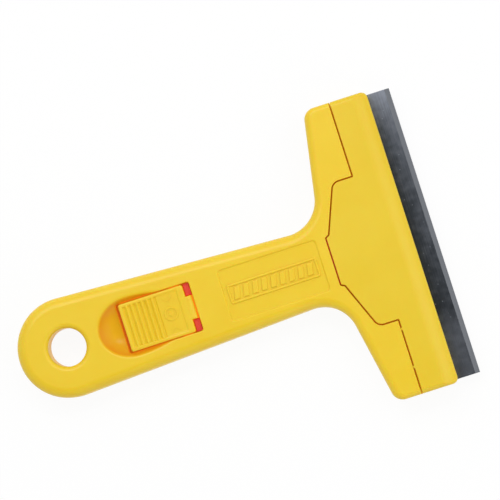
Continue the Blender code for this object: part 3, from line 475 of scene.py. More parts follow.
def plated_steel(name, colour, dull, gloss):
    """Zinc-plated steel: pale grey, softly mirroring, clouded where the plating varies."""
    finish, tree = new_material(name)
    place = add(tree, "ShaderNodeTexCoord").outputs["Object"]
    cloud = add(tree, "ShaderNodeTexNoise", {"Vector": place, "Scale": 1 / (1.5 * MM), "Detail": 4.0})
    spread = add(tree, "ShaderNodeMapRange", {"Value": cloud, 1: 0.35, 2: 0.65})
    tone = add(tree, "ShaderNodeMix", {0: spread, 6: rgb(dull), 7: rgb(colour)}, data_type="RGBA")
    sheen = add(tree, "ShaderNodeMapRange", {"Value": spread, 3: gloss + 0.08, 4: gloss - 0.04})
    relief = add(tree, "ShaderNodeBump", {"Height": cloud, "Strength": 0.2, "Distance": 0.01 * MM})
    feed(tree, tree.nodes["Principled BSDF"], {
        "Base Color": tone.outputs[2], "Metallic": 1.0, "Roughness": sheen,
        "Normal": relief})
    return finish


zinc = plated_steel("zinc_plated_steel", "#c9ccd0", "#a4a8ae", 0.30)
pin = cross_bar("steel_hinge_pin", X_HINGE, Z_HINGE, PIN_RADIUS, PIN_HALF, PIN_CHAMFER)
smoothed(pin)
dressed(pin, zinc, "handle", "zinc_plate", "hinge_pin")

# Return spring
# A short compression spring of 0.7 mm music wire, standing on the floor under the lever. It
# pushes the lever's arm up, and so keeps the jaw shut on the blade.

spring_low, spring_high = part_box("clamp_spring")
WIRE_RADIUS = 0.35 * MM
COIL_RADIUS = 3.4 * MM
COIL_PITCH = 1.2 * MM


def recipe(name, values):
    """A Geometry Nodes tree with a named input for each value, and those inputs."""
    kinds = {int: "Int", float: "Float", tuple: "Vector", bpy.types.Material: "Material",
             bpy.types.Object: "Object"}
    tree = bpy.data.node_groups.new(name, "GeometryNodeTree")
    for label, value in {"Geometry": None, **values}.items():
        kind = kinds.get(type(value), "Geometry")
        tree.interface.new_socket(name=label, in_out="INPUT", socket_type="NodeSocket" + kind)
    tree.interface.new_socket(name="Geometry", in_out="OUTPUT", socket_type="NodeSocketGeometry")
    return tree, add(tree, "NodeGroupInput").outputs


def cooked(name, tree, given, last, values, points=()):
    """Ends a tree, runs it on a set of points and keeps what it makes as one plain mesh."""
    real = add(tree, "GeometryNodeRealizeInstances", {0: last})
    coated = add(tree, "GeometryNodeSetMaterial", {"Geometry": real, "Material": given["Finish"]})
    add(tree, "NodeGroupOutput", {0: coated})
    mesh = bpy.data.meshes.new(name)
    mesh.from_pydata(list(points), [], [])
    holder = link(name, mesh)
    run = holder.modifiers.new(tree.name, "NODES")
    run.node_group = tree
    for socket in tree.interface.items_tree:
        if socket.in_out == "INPUT" and socket.name in values:
            run[socket.identifier] = values[socket.name]
    settle(holder)
    return holder


spring_wire = plated_steel("music_wire", "#b4b6ba", "#8d9096", 0.26)
coil_height = spring_high.z - spring_low.z - 2 * WIRE_RADIUS
coil_sizes = {"Turns": coil_height / COIL_PITCH, "Coil radius": COIL_RADIUS, "Height": coil_height,
              "Wire radius": WIRE_RADIUS, "Foot": (X_SPRING, 0.0, spring_low.z + WIRE_RADIUS),
              "Finish": spring_wire}
tree, given = recipe("wound_spring", coil_sizes)
coil = add(tree, "GeometryNodeCurveSpiral", {
    "Resolution": 40, "Rotations": given["Turns"], "Start Radius": given["Coil radius"],
    "End Radius": given["Coil radius"], "Height": given["Height"]})
section = add(tree, "GeometryNodeCurvePrimitiveCircle", {"Resolution": 12, "Radius": given["Wire radius"]})
wire = add(tree, "GeometryNodeCurveToMesh", {"Curve": coil, "Profile Curve": section, "Fill Caps": True})
seated = add(tree, "GeometryNodeTransform", {"Geometry": wire, "Translation": given["Foot"]})
spring = cooked("return_spring", tree, given, seated, coil_sizes)
smoothed(spring)
dressed(spring, spring_wire, "handle", "zinc_plate", "clamp_spring")
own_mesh(spring)

# Blade
# A strip of hardened carbon steel, rolled, browned by its heat treatment and oiled, with one long
# side ground to a cutting edge. Three holes drop over the pegs of the bed.

blade_low, blade_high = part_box("blade")
GRIND = 1.6 * MM
HONED = 0.22 * MM
EDGE_LAND = 0.05 * MM
BURR = 0.05 * MM
BLADE_HOLE = 2.2 * MM
BLADE_CORNER = 0.15 * MM


def oiled_steel(name, dark, pale, ground, gloss):
    """Hardened strip steel: near black, streaked along its rolling, with bare ground bevels.

    It is painted paler towards its ends, a painted reflection, and it pales towards the ground side
    as well, except near the -Y end. The oil leaves small smears, and a few bright specks lie on it.
    """
    finish, tree = new_material(name)
    coordinates = add(tree, "ShaderNodeTexCoord")
    place = coordinates.outputs["Object"]
    steps = add(tree, "ShaderNodeSeparateXYZ", {0: place})
    along = steps.outputs["Y"]
    # Painted reflection: paler towards the ends, strongly at the +Y end and a little at the -Y end
    reach = add(tree, "ShaderNodeMapRange", {"Value": along, 1: 6 * MM, 2: 53 * MM})
    upper = add(tree, "ShaderNodeMath", {0: reach, 1: 4.0}, operation="POWER")
    lower = add(tree, "ShaderNodeMapRange", {
        "Value": along, 1: -24 * MM, 2: -37 * MM, 4: 0.42}, interpolation_type="SMOOTHSTEP")
    ends = add(tree, "ShaderNodeMath", {0: upper, 1: lower}, operation="ADD")
    # Also paler towards the ground side, fading out towards the -Y end
    across = add(tree, "ShaderNodeMapRange", {
        "Value": steps.outputs["X"], 1: 65.5 * MM, 2: 70.5 * MM, 4: 0.2})
    fading = add(tree, "ShaderNodeMapRange", {"Value": along, 1: -34 * MM, 2: 0.0})
    side = add(tree, "ShaderNodeMath", {0: across, 1: fading}, operation="MULTIPLY")
    painted_reflection_and_paling = add(tree, "ShaderNodeMath", {0: ends, 1: side}, operation="ADD")
    rolled = add(tree, "ShaderNodeMapping", {"Vector": place, "Scale": (1 / (0.5 * MM), 1 / (16 * MM), 1)})
    streak = add(tree, "ShaderNodeTexNoise", {
        "Vector": rolled, "Scale": 1.0, "Detail": 5.0, "Roughness": 0.65})
    streaks = add(tree, "ShaderNodeMapRange", {"Value": streak, 1: 0.3, 2: 0.75, 3: -0.14, 4: 0.22})
    smear = add(tree, "ShaderNodeTexNoise", {"Vector": place, "Scale": 1 / (3 * MM), "Detail": 4.0})
    smears = add(tree, "ShaderNodeMapRange", {"Value": smear, 1: 0.35, 2: 0.7, 3: -0.09, 4: 0.13})
    marks = add(tree, "ShaderNodeMath", {0: streaks, 1: smears}, operation="ADD")
    rise = add(tree, "ShaderNodeMath", {0: painted_reflection_and_paling, 1: marks}, operation="ADD", use_clamp=True)
    body = add(tree, "ShaderNodeMix", {0: rise, 6: rgb(dark), 7: rgb(pale)}, data_type="RGBA")
    dust = add(tree, "ShaderNodeTexVoronoi", {"Vector": place, "Scale": 1 / (2.6 * MM)})
    speck = add(tree, "ShaderNodeMapRange", {
        "Value": dust.outputs["Distance"], 1: 0.05, 2: 0.09, 3: 0.75, 4: 0.0})
    spotted = add(tree, "ShaderNodeMix", {0: speck, 6: body.outputs[2], 7: rgb(pale)}, data_type="RGBA")
    facing = add(tree, "ShaderNodeSeparateXYZ", {0: coordinates.outputs["Normal"]}).outputs["Z"]
    slope = add(tree, "ShaderNodeMapRange", {"Value": facing, 1: 0.97, 2: 0.93})
    tone = add(tree, "ShaderNodeMix", {0: slope, 6: spotted.outputs[2], 7: rgb(ground)}, data_type="RGBA")
    sheen = add(tree, "ShaderNodeMapRange", {
        "Value": streak, 1: 0.3, 2: 0.7, 3: gloss + 0.08, 4: gloss - 0.06})
    relief = add(tree, "ShaderNodeBump", {"Height": streak, "Strength": 0.35, "Distance": 0.01 * MM})
    feed(tree, tree.nodes["Principled BSDF"], {
        "Base Color": tone.outputs[2], "Metallic": 1.0, "Roughness": sheen,
        "Normal": relief})
    return finish


blade_outline = mirrored([(blade_low.x, blade_low.y, BLADE_CORNER, "plain"),
                          (blade_high.x, blade_low.y, 0, "ground")], "plain")
ground_edge = edge((BURR, blade_low.z, 0), (0, blade_low.z + EDGE_LAND, 0),
                   (HONED, blade_low.z + 4 * EDGE_LAND, 0), (GRIND, blade_high.z, 0))
plain_edge = edge((0, blade_low.z, BURR), (0, blade_high.z, BURR))
blade = moulding("scraper_blade", blade_outline, {"ground": ground_edge, "plain": plain_edge})
for step in (-1, 0, 1):
    cut(blade, turned(f"blade_hole_{step}", X_PEGS, step * PEG_PITCH,
                      [(BLADE_HOLE, blade_low.z - OVERRUN), (BLADE_HOLE, blade_high.z + OVERRUN)]))
settle(blade)
smoothed(blade, math.radians(12))
hard_steel = oiled_steel("oiled_carbon_steel", "#3b3f44", "#868b95", "#6d7075", 0.34)
dressed(blade, hard_steel, "handle", "blade_steel", "blade")

# Screws
# Zinc-plated pan-head screws with a cross recess, driven from below: three hold the two halves of
# the handle together, and two hold the red lever to the jaw. One is made and set at each place.

HEAD_RADIUS = 2.6 * MM
HEAD_HEIGHT = 1.9 * MM
CROSS_REACH = 1.5 * MM
CROSS_HALF = 0.4 * MM
CROSS_DEPTH = 1.0 * MM
HEAD_ARC_STEPS = 6
JAW_SCREW_X = X_SEAM - 5.5 * MM
JAW_SCREW_Y = 13.0 * MM


def pan_screw(name, length):
    """A screw that points up, with its bearing face on the origin."""
    low = HEAD_HEIGHT / 3
    arc = [(HEAD_RADIUS - low * 2 + low * 2 * math.cos(math.pi / 2 * i / HEAD_ARC_STEPS),
            -low - low * 2 * math.sin(math.pi / 2 * i / HEAD_ARC_STEPS)) for i in range(HEAD_ARC_STEPS + 1)]
    screw = turned(name, 0, 0, [(SCREW_RADIUS / 2, length), (SCREW_RADIUS, length - SCREW_RADIUS),
                                (SCREW_RADIUS, 0), (HEAD_RADIUS, 0), *arc])
    wide, thin = CROSS_REACH, CROSS_HALF
    rings = []
    for z, share in ((-HEAD_HEIGHT - OVERRUN, 1.0), (-HEAD_HEIGHT, 1.0), (CROSS_DEPTH - HEAD_HEIGHT, 0.55)):
        corner = [(thin, thin), (thin, wide * share), (-thin, wide * share), (-thin, thin)]
        rings.append([(x * c - y * s, x * s + y * c, z) for c, s in ((1, 0), (0, 1), (-1, 0), (0, -1))
                      for x, y in corner[1:]])
    cut(screw, stacked(name + "_cross", rings))
    settle(screw)
    smoothed(screw)
    return screw


def fastened(name, length, places, seed):
    """Copies of one screw, each turned at random, at the points where they are driven."""
    sizes = {"Screw": pan_screw(name + "_blank", length), "Seed": seed, "Finish": zinc}
    tree, given = recipe(name, sizes)
    blank = add(tree, "GeometryNodeObjectInfo", {"Object": given["Screw"]})
    turn = add(tree, "FunctionNodeRandomValue", {
        "Max": (0.0, 0.0, math.tau), "Seed": given["Seed"]}, data_type="FLOAT_VECTOR")
    turn.inputs["Min"].default_value = (0.0, 0.0, 0.0)
    driven = add(tree, "GeometryNodeInstanceOnPoints", {
        "Points": given["Geometry"], "Instance": blank.outputs["Geometry"], "Rotation": turn})
    made = cooked(name, tree, given, driven, sizes, places)
    bpy.data.objects.remove(sizes["Screw"], do_unlink=True)
    return made


screw_low, screw_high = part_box("tail_screw")
shell_length = screw_high.z - screw_low.z - HEAD_HEIGHT
shell_screws = fastened("shell_screws", shell_length,
                        [(x, y, screw_low.z + HEAD_HEIGHT) for x, y in SHELL_SCREWS], 2)
dressed(shell_screws, zinc, "handle", "zinc_plate", "tail_screw", "wing_screw_left", "wing_screw_right")
screw_low, screw_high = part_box("jaw_screw_left")
jaw_length = screw_high.z - screw_low.z - HEAD_HEIGHT
jaw_screws = fastened("jaw_screws", jaw_length,
                      [(JAW_SCREW_X, y, screw_low.z + HEAD_HEIGHT) for y in (-JAW_SCREW_Y, JAW_SCREW_Y)], 5)
dressed(jaw_screws, zinc, "jaw", "zinc_plate", "jaw_screw_left", "jaw_screw_right")

# Upper half of the handle
# The same ABS, moulded with a roof of 2.2 mm. Its top has the hanging hole, a thumb scoop that
# runs under the button, the button's window and a shallow label recess. Every opening has a
# rounded mouth. The scoop is pressed into the finished top, so that its rim stays soft.

STOP_REACH = 0.2 * MM
STOP_DROP = 2.1 * MM
SEAM_ROUNDING = 0.15 * MM
GRIP_ROUNDING = 3.5 * MM
WING_ROUNDING = 2.8 * MM
END_ROUNDING = 1.8 * MM
SHOULDER_RADIUS = 3.0 * MM
SEAM_CORNER = 0.2 * MM
JOG_HALF = 8.9 * MM
HINGE_SEAM_HALF = 8.2 * MM
BOSS_RADIUS = 3.0 * MM
WINDOW_HALF = 8.55 * MM
WINDOW_CORNER = 0.8 * MM
MOUTH_ROUNDING = 0.35 * MM
MOUTH_STEPS = 6
AXLE_RADIUS = 1.2 * MM
X_AXLE = X_WINDOW_END + 2.6 * MM
Z_AXLE = Z_ROOF - ROOF_GAP - AXLE_RADIUS
NECK_HALF = 4.0 * MM
AXLE_EAR = 2.2 * MM
AXLE_EAR_HALF = 2.4 * MM
AXLE_EAR_HEIGHT = 3.0 * MM
AXLE_BORE_REACH = 3.3 * MM
BAY_MARGIN = 4.0 * MM
PILOT_TOP = 11.4 * MM
LABEL_START = X_WINDOW_END + 10.1 * MM
LABEL_END = X_HINGE_SEAM - 3.7 * MM
LABEL_HALF = 8.85 * MM
LABEL_CORNER = 1.2 * MM
LABEL_DEPTH = 0.45 * MM
LABEL_SLOPE = 0.6 * MM
FRAME_LENGTH = 31.4 * MM
FRAME_WIDTH = 6.6 * MM
FRAME_STROKE = 0.7 * MM
MARK_HEIGHT = 0.45 * MM
MARK_ROUNDING = 0.25 * MM
BAR_COUNT = 9
BAR_PITCH = 3.2 * MM
BAR_WIDTH = 1.9 * MM
BAR_LENGTH = 4.1 * MM
BAR_SLANT = 0.9 * MM
SCOOP_TAIL = 11.7 * MM
SCOOP_HEAD = 22.0 * MM
SCOOP_HALF = 10.1 * MM
SCOOP_DEPTH = 3.0 * MM
SCOOP_RISE = 1.5 * MM
SCOOP_RIM = 0.22 * MM
SCOOP_LEAD = 8.2 * MM           # from its tail edge to the window
X_SCOOP = X_WINDOW - SCOOP_LEAD + SCOOP_TAIL
SCOOP_CELL = 0.35 * MM
# The scoop's painted warm shade: its strength, how much it fades towards the floor, and the depth it takes
# to come in
SCOOP_TINT = 0.95
SCOOP_EASE = 0.7
SCOOP_WARM_DEPTH = 0.6 * MM
SCOOP_MARGIN = 2.0 * MM

seam_corners = [(X_SEAM, -TAB_HALF, SEAM_CORNER, "seam"),
                (X_SHOULDER, -TAB_HALF, SHOULDER_RADIUS, "seam"),
                (X_JOG, -JOG_HALF, SEAM_CORNER, "seam"),
                (X_HINGE_SEAM, -HINGE_SEAM_HALF, SEAM_CORNER, "seam")]
upper_outline = mirrored(grip_corners + [(X_SEAM, -HALF_HEAD, 0, "seam")] + seam_corners, "grip")
slant = meeting(seam_corners[1], heading(seam_corners[1], seam_corners[2]), (X_HINGE_SEAM, 0), (0, 1))
hollow_outline = mirrored(grip_corners + [(X_SEAM, -HALF_HEAD, 0, "seam")] + seam_corners[:2] +
                          [(*slant, 0, "hinge")], "grip")


def grown(name, outline, rings):
    """A cutter through copies of an outline, each at its own height and grown by its own width."""
    return stacked(name, [[(x, y, z) for x, y in traced(outline, {"all": -grow})] for z, grow in rings])


def opened(name, outline, bottom, rim, top=HEIGHT):
    """A cutter for an opening whose mouth is rounded by rim."""
    rings = [(bottom, 0.0)]
    for i in range(MOUTH_STEPS + 1):
        angle = math.pi / 2 * i / MOUTH_STEPS
        rings.append((top - rim + rim * math.sin(angle), rim * (1 - math.cos(angle))))
    rings.append((top + OVERRUN, rim))
    return grown(name, outline, rings)


def dished(name, outline, bottom, top, slope):
    """A cutter for a shallow recess whose sides slope softly, over a width of slope."""
    rings = []
    for i in range(MOUTH_STEPS + 1):
        share = i / MOUTH_STEPS
        rings.append((bottom + (top - bottom) * (1 - math.cos(math.pi * share)) / 2, slope * (share - 0.5)))
    rings.append((top + OVERRUN, slope / 2))
    return grown(name, outline, rings)


def oblong(x_range, half, radius):
    return mirrored([(x_range[0], -half, radius, "all"), (x_range[1], -half, radius, "all")], "all")


def repeated(name, master, count, first, pitch):
    """Copies of one master along X, as one plain mesh."""
    sizes = {"Master": master, "Count": count, "First": (first, 0.0, 0.0), "Pitch": (pitch, 0.0, 0.0),
             "Finish": yellow_abs}
    tree, given = recipe(name, sizes)
    places = add(tree, "GeometryNodeMeshLine", {
        "Count": given["Count"], "Start Location": given["First"], "Offset": given["Pitch"]})
    one = add(tree, "GeometryNodeObjectInfo", {"Object": given["Master"]})
    row = add(tree, "GeometryNodeInstanceOnPoints", {"Points": places, "Instance": one.outputs["Geometry"]})
    made = cooked(name, tree, given, row, sizes)
    bpy.data.objects.remove(master, do_unlink=True)
    return made


def scoop_depth(x, y):
    """How far the thumb scoop lies below the flat top: an ellipsoid's dip with a soft rim."""
    height = SCOOP_DEPTH + SCOOP_RISE
    spread = 1 - (SCOOP_RISE / height) ** 2
    length = SCOOP_HEAD if x > X_SCOOP else SCOOP_TAIL
    reach = ((x - X_SCOOP) / length) ** 2 + (y / SCOOP_HALF) ** 2
    dip = height * math.sqrt(max(0.0, 1 - reach * spread)) - SCOOP_RISE
    far = SCOOP_RISE - math.hypot(SCOOP_RISE, SCOOP_RIM)
    return (dip + math.hypot(dip, SCOOP_RIM) + far) / 2


def press_scoop(piece):
    """Cuts the roof round the scoop into small cells and moves them down.

    The attribute thin notes how much painted warm shade and painted glow the plastic gets: most
    below the scoop's rim and down the walls of the window.
    """
    mesh = bmesh.new()
    mesh.from_mesh(piece.data)
    low = (X_SCOOP - SCOOP_TAIL - SCOOP_MARGIN, -SCOOP_HALF - SCOOP_MARGIN)
    high = (X_SCOOP + SCOOP_HEAD + SCOOP_MARGIN, SCOOP_HALF + SCOOP_MARGIN)
    for cell in (max(high), SCOOP_CELL):
        faces = []
        for face in mesh.faces:
            centre = face.calc_center_median()
            within = cell > SCOOP_CELL or all(a < c < b for a, c, b in zip(low, centre, high))
            if within and centre.z > Z_ROOF - OVERRUN:
                faces.append(face)
        parts = list({part for face in faces for part in (face, *face.edges, *face.verts)})
        for axis, normal in enumerate(((1, 0, 0), (0, 1, 0))):
            count = max(1, round((high[axis] - low[axis]) / cell))
            for step in range(count + 1):
                place = low[axis] + (high[axis] - low[axis]) * step / count
                parts = bmesh.ops.bisect_plane(mesh, geom=parts, dist=MM / 1000, plane_no=normal,
                                               plane_co=[place * unit for unit in normal])["geom"]
    thin = mesh.verts.layers.float.new("thin")
    for vert in mesh.verts:
        x, y, z = vert.co
        depth = scoop_depth(x, y)
        if z > Z_ROOF - PIN_GAP:
            vert.co.z -= depth
            # Painted warm shade, strongest just inside the rim and easing towards the floor
            ease = 1 - SCOOP_EASE * depth / SCOOP_DEPTH
            vert[thin] = SCOOP_TINT * min(1.0, depth / SCOOP_WARM_DEPTH) * ease
            along = X_WINDOW - MOUTH_ROUNDING < x < X_WINDOW_END + MOUTH_ROUNDING
            if along and abs(y) < WINDOW_HALF + MOUTH_ROUNDING:
                vert[thin] = max(vert[thin], (HEIGHT - z) / ROOF)
    mesh.to_mesh(piece.data)
    mesh.free()


z_low = PARTING + GAP / 2
grip_edge = edge((0, z_low, PARTING_ROUNDING), (0, HEIGHT, GRIP_ROUNDING))
wing_edge = edge((0, z_low, PARTING_ROUNDING), (0, HEIGHT, WING_ROUNDING))
end_edge = edge((0, z_low, PARTING_ROUNDING), (0, HEIGHT, END_ROUNDING))
seam_edge = edge((SEAM_GAP / 2, z_low, 0), (SEAM_GAP / 2, HEIGHT, SEAM_ROUNDING))
top = moulding("handle_top", upper_outline,
               {"grip": grip_edge, "wing": wing_edge, "end": end_edge, "seam": seam_edge})
cavity = {"grip": WALL, "wing": WALL, "end": WALL, "seam": SEAM_WALL + SEAM_GAP / 2, "hinge": -OVERRUN}
rebate = {kind: LIP_INSET - GAP for kind in ("grip", "wing", "end", "front")}
cut(top, slab("upper_hollow", hollow_outline, (z_low - OVERRUN, Z_ROOF), cavity),
    slab("lip_rebate", body_outline, (z_low - OVERRUN, PARTING + LIP_HEIGHT + GAP), rebate))
posts = [(X_HOLE, 0, HOLE_RADIUS + WALL)] + [(x, y, BOSS_RADIUS) for x, y in SHELL_SCREWS]
for i, (x, y, radius) in enumerate(posts):
    join(top, turned(f"upper_post_{i}", x, y, [(radius, z_low), (radius, HEIGHT - OVERRUN)]))
for side in (-1, 1):
    ear = NECK_HALF + GAP
    join(top, block(f"axle_ear_{side}", (X_AXLE - AXLE_EAR_HALF, X_AXLE + AXLE_EAR_HALF),
                    (side * ear, side * (ear + AXLE_EAR)), (Z_ROOF - AXLE_EAR_HEIGHT, HEIGHT - OVERRUN)))
    join(top, block(f"seam_stop_{side}", (X_SEAM - SEAM_WALL, X_SEAM - SEAM_GAP / 2 + STOP_REACH),
                    (side * (HALF_HEAD - WALL), side * (HALF_HEAD - weld)), (z_low, HEIGHT - STOP_DROP)))
bay_half = LEVER_WIDTH / 2 + BAY_MARGIN
label = oblong((LABEL_START, LABEL_END), LABEL_HALF, LABEL_CORNER)
window = oblong((X_WINDOW, X_WINDOW_END), WINDOW_HALF, WINDOW_CORNER)
cut(top, block("hinge_bay", (X_HINGE - EAR_HALF - GAP, X_HINGE_SEAM + BAY_MARGIN), (-bay_half, bay_half),
               (z_low - OVERRUN, Z_ROOF)),
    opened("window", window, z_low - OVERRUN, MOUTH_ROUNDING),
    dished("label_recess", label, HEIGHT - LABEL_DEPTH, HEIGHT, LABEL_SLOPE),
    hole_cutter("upper_hole"),
    cross_bar("axle_bore", X_AXLE, Z_AXLE, AXLE_RADIUS + PIN_GAP, NECK_HALF + AXLE_BORE_REACH))
pilot = SCREW_RADIUS + PIN_GAP
for i, (x, y) in enumerate(SHELL_SCREWS):
    cut(top, turned(f"pilot_{i}", x, y, [(pilot, z_low - OVERRUN), (pilot, PILOT_TOP)]))

# The label is left without words: a raised frame with a row of slanted bars, moulded in one with
# the shell. A master bar is repeated along a line.
label_floor = HEIGHT - LABEL_DEPTH
x_label = (LABEL_START + LABEL_END) / 2
mark_edge = edge((0, label_floor - LABEL_DEPTH, 0), (0, label_floor + MARK_HEIGHT, MARK_ROUNDING))
ring = moulding("label_frame", oblong((x_label - FRAME_LENGTH / 2, x_label + FRAME_LENGTH / 2),
                                      FRAME_WIDTH / 2, FRAME_STROKE), {"all": mark_edge})
inner = oblong((x_label - FRAME_LENGTH / 2 + FRAME_STROKE, x_label + FRAME_LENGTH / 2 - FRAME_STROKE),
               FRAME_WIDTH / 2 - FRAME_STROKE, PIN_GAP)
cut(ring, opened("frame_inside", inner, label_floor - OVERRUN, MARK_ROUNDING, label_floor + MARK_HEIGHT))
settle(ring)
half_bar = BAR_WIDTH / 2
bar_outline = [(-half_bar - BAR_SLANT / 2, -BAR_LENGTH / 2, PIN_GAP, "all"),
               (half_bar - BAR_SLANT / 2, -BAR_LENGTH / 2, PIN_GAP, "all"),
               (half_bar + BAR_SLANT / 2, BAR_LENGTH / 2, PIN_GAP, "all"),
               (BAR_SLANT / 2 - half_bar, BAR_LENGTH / 2, PIN_GAP, "all")]
bar = moulding("label_bar", bar_outline, {"all": mark_edge})
first_bar = x_label - BAR_PITCH * (BAR_COUNT - 1) / 2
join(top, ring, repeated("label_bars", bar, BAR_COUNT, first_bar, BAR_PITCH))
settle(top)
press_scoop(top)
smoothed(top)
dressed(top, yellow_abs, "handle", "yellow_plastic", "upper_shell")

# Jaw
# The yellow cover that holds the blade down: a deep bar across the head whose front bends over,
# and a thin tab behind it that reaches to the hinge. Pockets from below keep its walls even, and
# two tiny nubs on one wing reach over the seam.

Z_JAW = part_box("clamp_jaw")[0].z
JAW_PLATE = 2.4 * MM
BEND_RUN = 6.2 * MM
BEND_DROP = 2.5 * MM
BEND_EASE = 0.9 * MM
NOSE_EDGE = 0.8 * MM
JAW_LIP_DEPTH = 3.6 * MM
POCKET_PITCH = 14.0 * MM
POCKET_RIB = 2.0 * MM
POCKET_ROOF = 5.0 * MM
JAW_BOSS_RADIUS = 2.5 * MM
JAW_BOSS_LENGTH = 2.2 * MM
JAW_PILOT_TOP = 13.5 * MM
NUB_PLACES = (-28.4 * MM, -41.7 * MM)
NUB_HALF = 0.4 * MM
NUB_REACH = 0.36 * MM
NUB_HEIGHT = 0.6 * MM

bend_radius = (BEND_RUN ** 2 + BEND_DROP ** 2) / (2 * BEND_DROP)
bend_corner = BEND_RUN - bend_radius * math.tan(math.asin(BEND_RUN / bend_radius) / 2)
jaw_half = [*seam_corners[::-1], (X_SEAM, -HALF_HEAD, 0, "end"),
            (X_FRONT, -HALF_HEAD, FRONT_CORNER, "front")]
jaw_edges = {"seam": edge((SEAM_GAP / 2, Z_JAW, PIN_GAP), (SEAM_GAP / 2, HEIGHT, SEAM_ROUNDING)),
             "end": edge((0, Z_JAW, PARTING_ROUNDING), (0, HEIGHT, END_ROUNDING)),
             "front": edge((0, Z_JAW, PARTING_ROUNDING), (0, HEIGHT - BEND_DROP, NOSE_EDGE),
                           (bend_corner, HEIGHT, bend_radius - BEND_EASE))}
jaw = moulding("jaw_plate", mirrored(jaw_half, "seam"), jaw_edges)
z_plate = HEIGHT - JAW_PLATE
jaw_rear = X_SEAM + SEAM_GAP / 2
across = (-HALF_HEAD - OVERRUN, HALF_HEAD + OVERRUN)
cut(jaw, block("under_tab", (X_HINGE_SEAM - OVERRUN, jaw_rear), across, (Z_JAW - OVERRUN, z_plate)),
    block("rib_relief", (jaw_rear - OVERRUN, X_BLADE_BACK), across,
          (Z_JAW - OVERRUN, BED + STOP_RIB_HEIGHT + GAP)))
for step in range(-3, 4):
    low = step * POCKET_PITCH - (POCKET_PITCH - POCKET_RIB) / 2
    high = min(low + POCKET_PITCH - POCKET_RIB, HALF_HEAD - WALL)
    cut(jaw, block(f"pocket_{step}", (jaw_rear + WALL, X_FRONT - JAW_LIP_DEPTH),
                   (max(low, WALL - HALF_HEAD), high), (Z_JAW - OVERRUN, HEIGHT - POCKET_ROOF)))
for side in (-1, 1):
    join(jaw, turned(f"jaw_boss_{side}", JAW_SCREW_X, side * JAW_SCREW_Y,
                     [(JAW_BOSS_RADIUS, z_plate - JAW_BOSS_LENGTH), (JAW_BOSS_RADIUS, HEIGHT - OVERRUN)]))
for i, y in enumerate(NUB_PLACES):
    join(jaw, block(f"nub_{i}", (jaw_rear - NUB_REACH, jaw_rear + WALL / 2), (y - NUB_HALF, y + NUB_HALF),
                    (HEIGHT - NUB_HEIGHT, HEIGHT - weld)))
for side in (-1, 1):
    cut(jaw, turned(f"jaw_pilot_{side}", JAW_SCREW_X, side * JAW_SCREW_Y,
                    [(pilot, Z_JAW), (pilot, JAW_PILOT_TOP)]))
settle(jaw)
smoothed(jaw)
# The same plastic, a shade deeper on the jaw
jaw_abs = abs_plastic("moulded_jaw_abs", "#e0bf1b", "#e2c325", "#d9820c", "#6c3e0c", 0.40)
dressed(jaw, jaw_abs, "jaw", "yellow_plastic", "clamp_jaw")

# Thumb button
# A shallow hollow cap of the same ABS that tips about a short axle at its head end. Seven soft
# ribs lie across its tail end, where the thumb pushes, and a sunk panel behind them has a plain
# ring and dot between chevrons. A neck runs to the axle, and a foot below bears on the lever.

X_BUTTON = X_WINDOW + 0.9 * MM
X_BUTTON_END = X_BUTTON + 22.6 * MM
BUTTON_HALF = WINDOW_HALF - GAP
Z_BUTTON = HEIGHT + 0.2 * MM
Z_SKIRT = Z_BUTTON - 3.4 * MM
Z_BUTTON_UNDER = Z_BUTTON - 2.2 * MM
BUTTON_WALL = 1.3 * MM
BUTTON_ROUNDING = 0.55 * MM
NECK_ROUNDING = 1.5 * MM
RIB_COUNT = 7
RIB_PITCH = 1.79 * MM
RIB_HEIGHT = 0.65 * MM
RIB_MARGIN = 0.9 * MM
GROOVE_SHARE = 0.49             # half a groove's width, of the pitch
WAVE_SHARE = 0.98               # of that half, where the wave's section starts
WAVE_STEPS = 8
PANEL_LENGTH = 7.6 * MM
PANEL_HALF = 7.1 * MM
PANEL_DEPTH = 0.3 * MM
PANEL_SLOPE = 0.7 * MM
PANEL_SETBACK = 2.4 * MM
MARK_RADIUS = 2.4 * MM
MARK_STROKE = 0.7 * MM
DOT_RADIUS = 0.8 * MM
CHEVRON_HALF = 1.6 * MM
CHEVRON_RISE = 1.3 * MM
CHEVRON_PLACE = 4.2 * MM
# Depths over which the button's painted warm shade and glow come in, on top and down its walls
BUTTON_WARM_DEPTH = 3.4 * MM
WALL_WARM_DEPTH = 0.8 * MM
X_FOOT = X_BUTTON + 4.6 * MM
FOOT_HALF_LENGTH = 1.5 * MM
FOOT_HALF_WIDTH = 5.0 * MM
LEDGE_LENGTH = 3.6 * MM
LEDGE_WIDTH = 0.8 * MM
LEDGE_THICKNESS = 1.4 * MM
Z_ARM_TOP = Z_ROOF - 3.3 * MM

button_outline = oblong((X_BUTTON, X_BUTTON_END), BUTTON_HALF, WINDOW_CORNER)
button = moulding("thumb_button", button_outline,
                  {"all": edge((0, Z_SKIRT, PIN_GAP), (0, Z_BUTTON, BUTTON_ROUNDING))})
panel_end = X_BUTTON_END - PANEL_SETBACK
panel = oblong((panel_end - PANEL_LENGTH, panel_end), PANEL_HALF, PANEL_SLOPE)
cut(button, slab("button_hollow", button_outline, (Z_SKIRT - OVERRUN, Z_BUTTON_UNDER), {"all": BUTTON_WALL}),
    dished("panel_recess", panel, Z_BUTTON - PANEL_DEPTH, Z_BUTTON, PANEL_SLOPE))

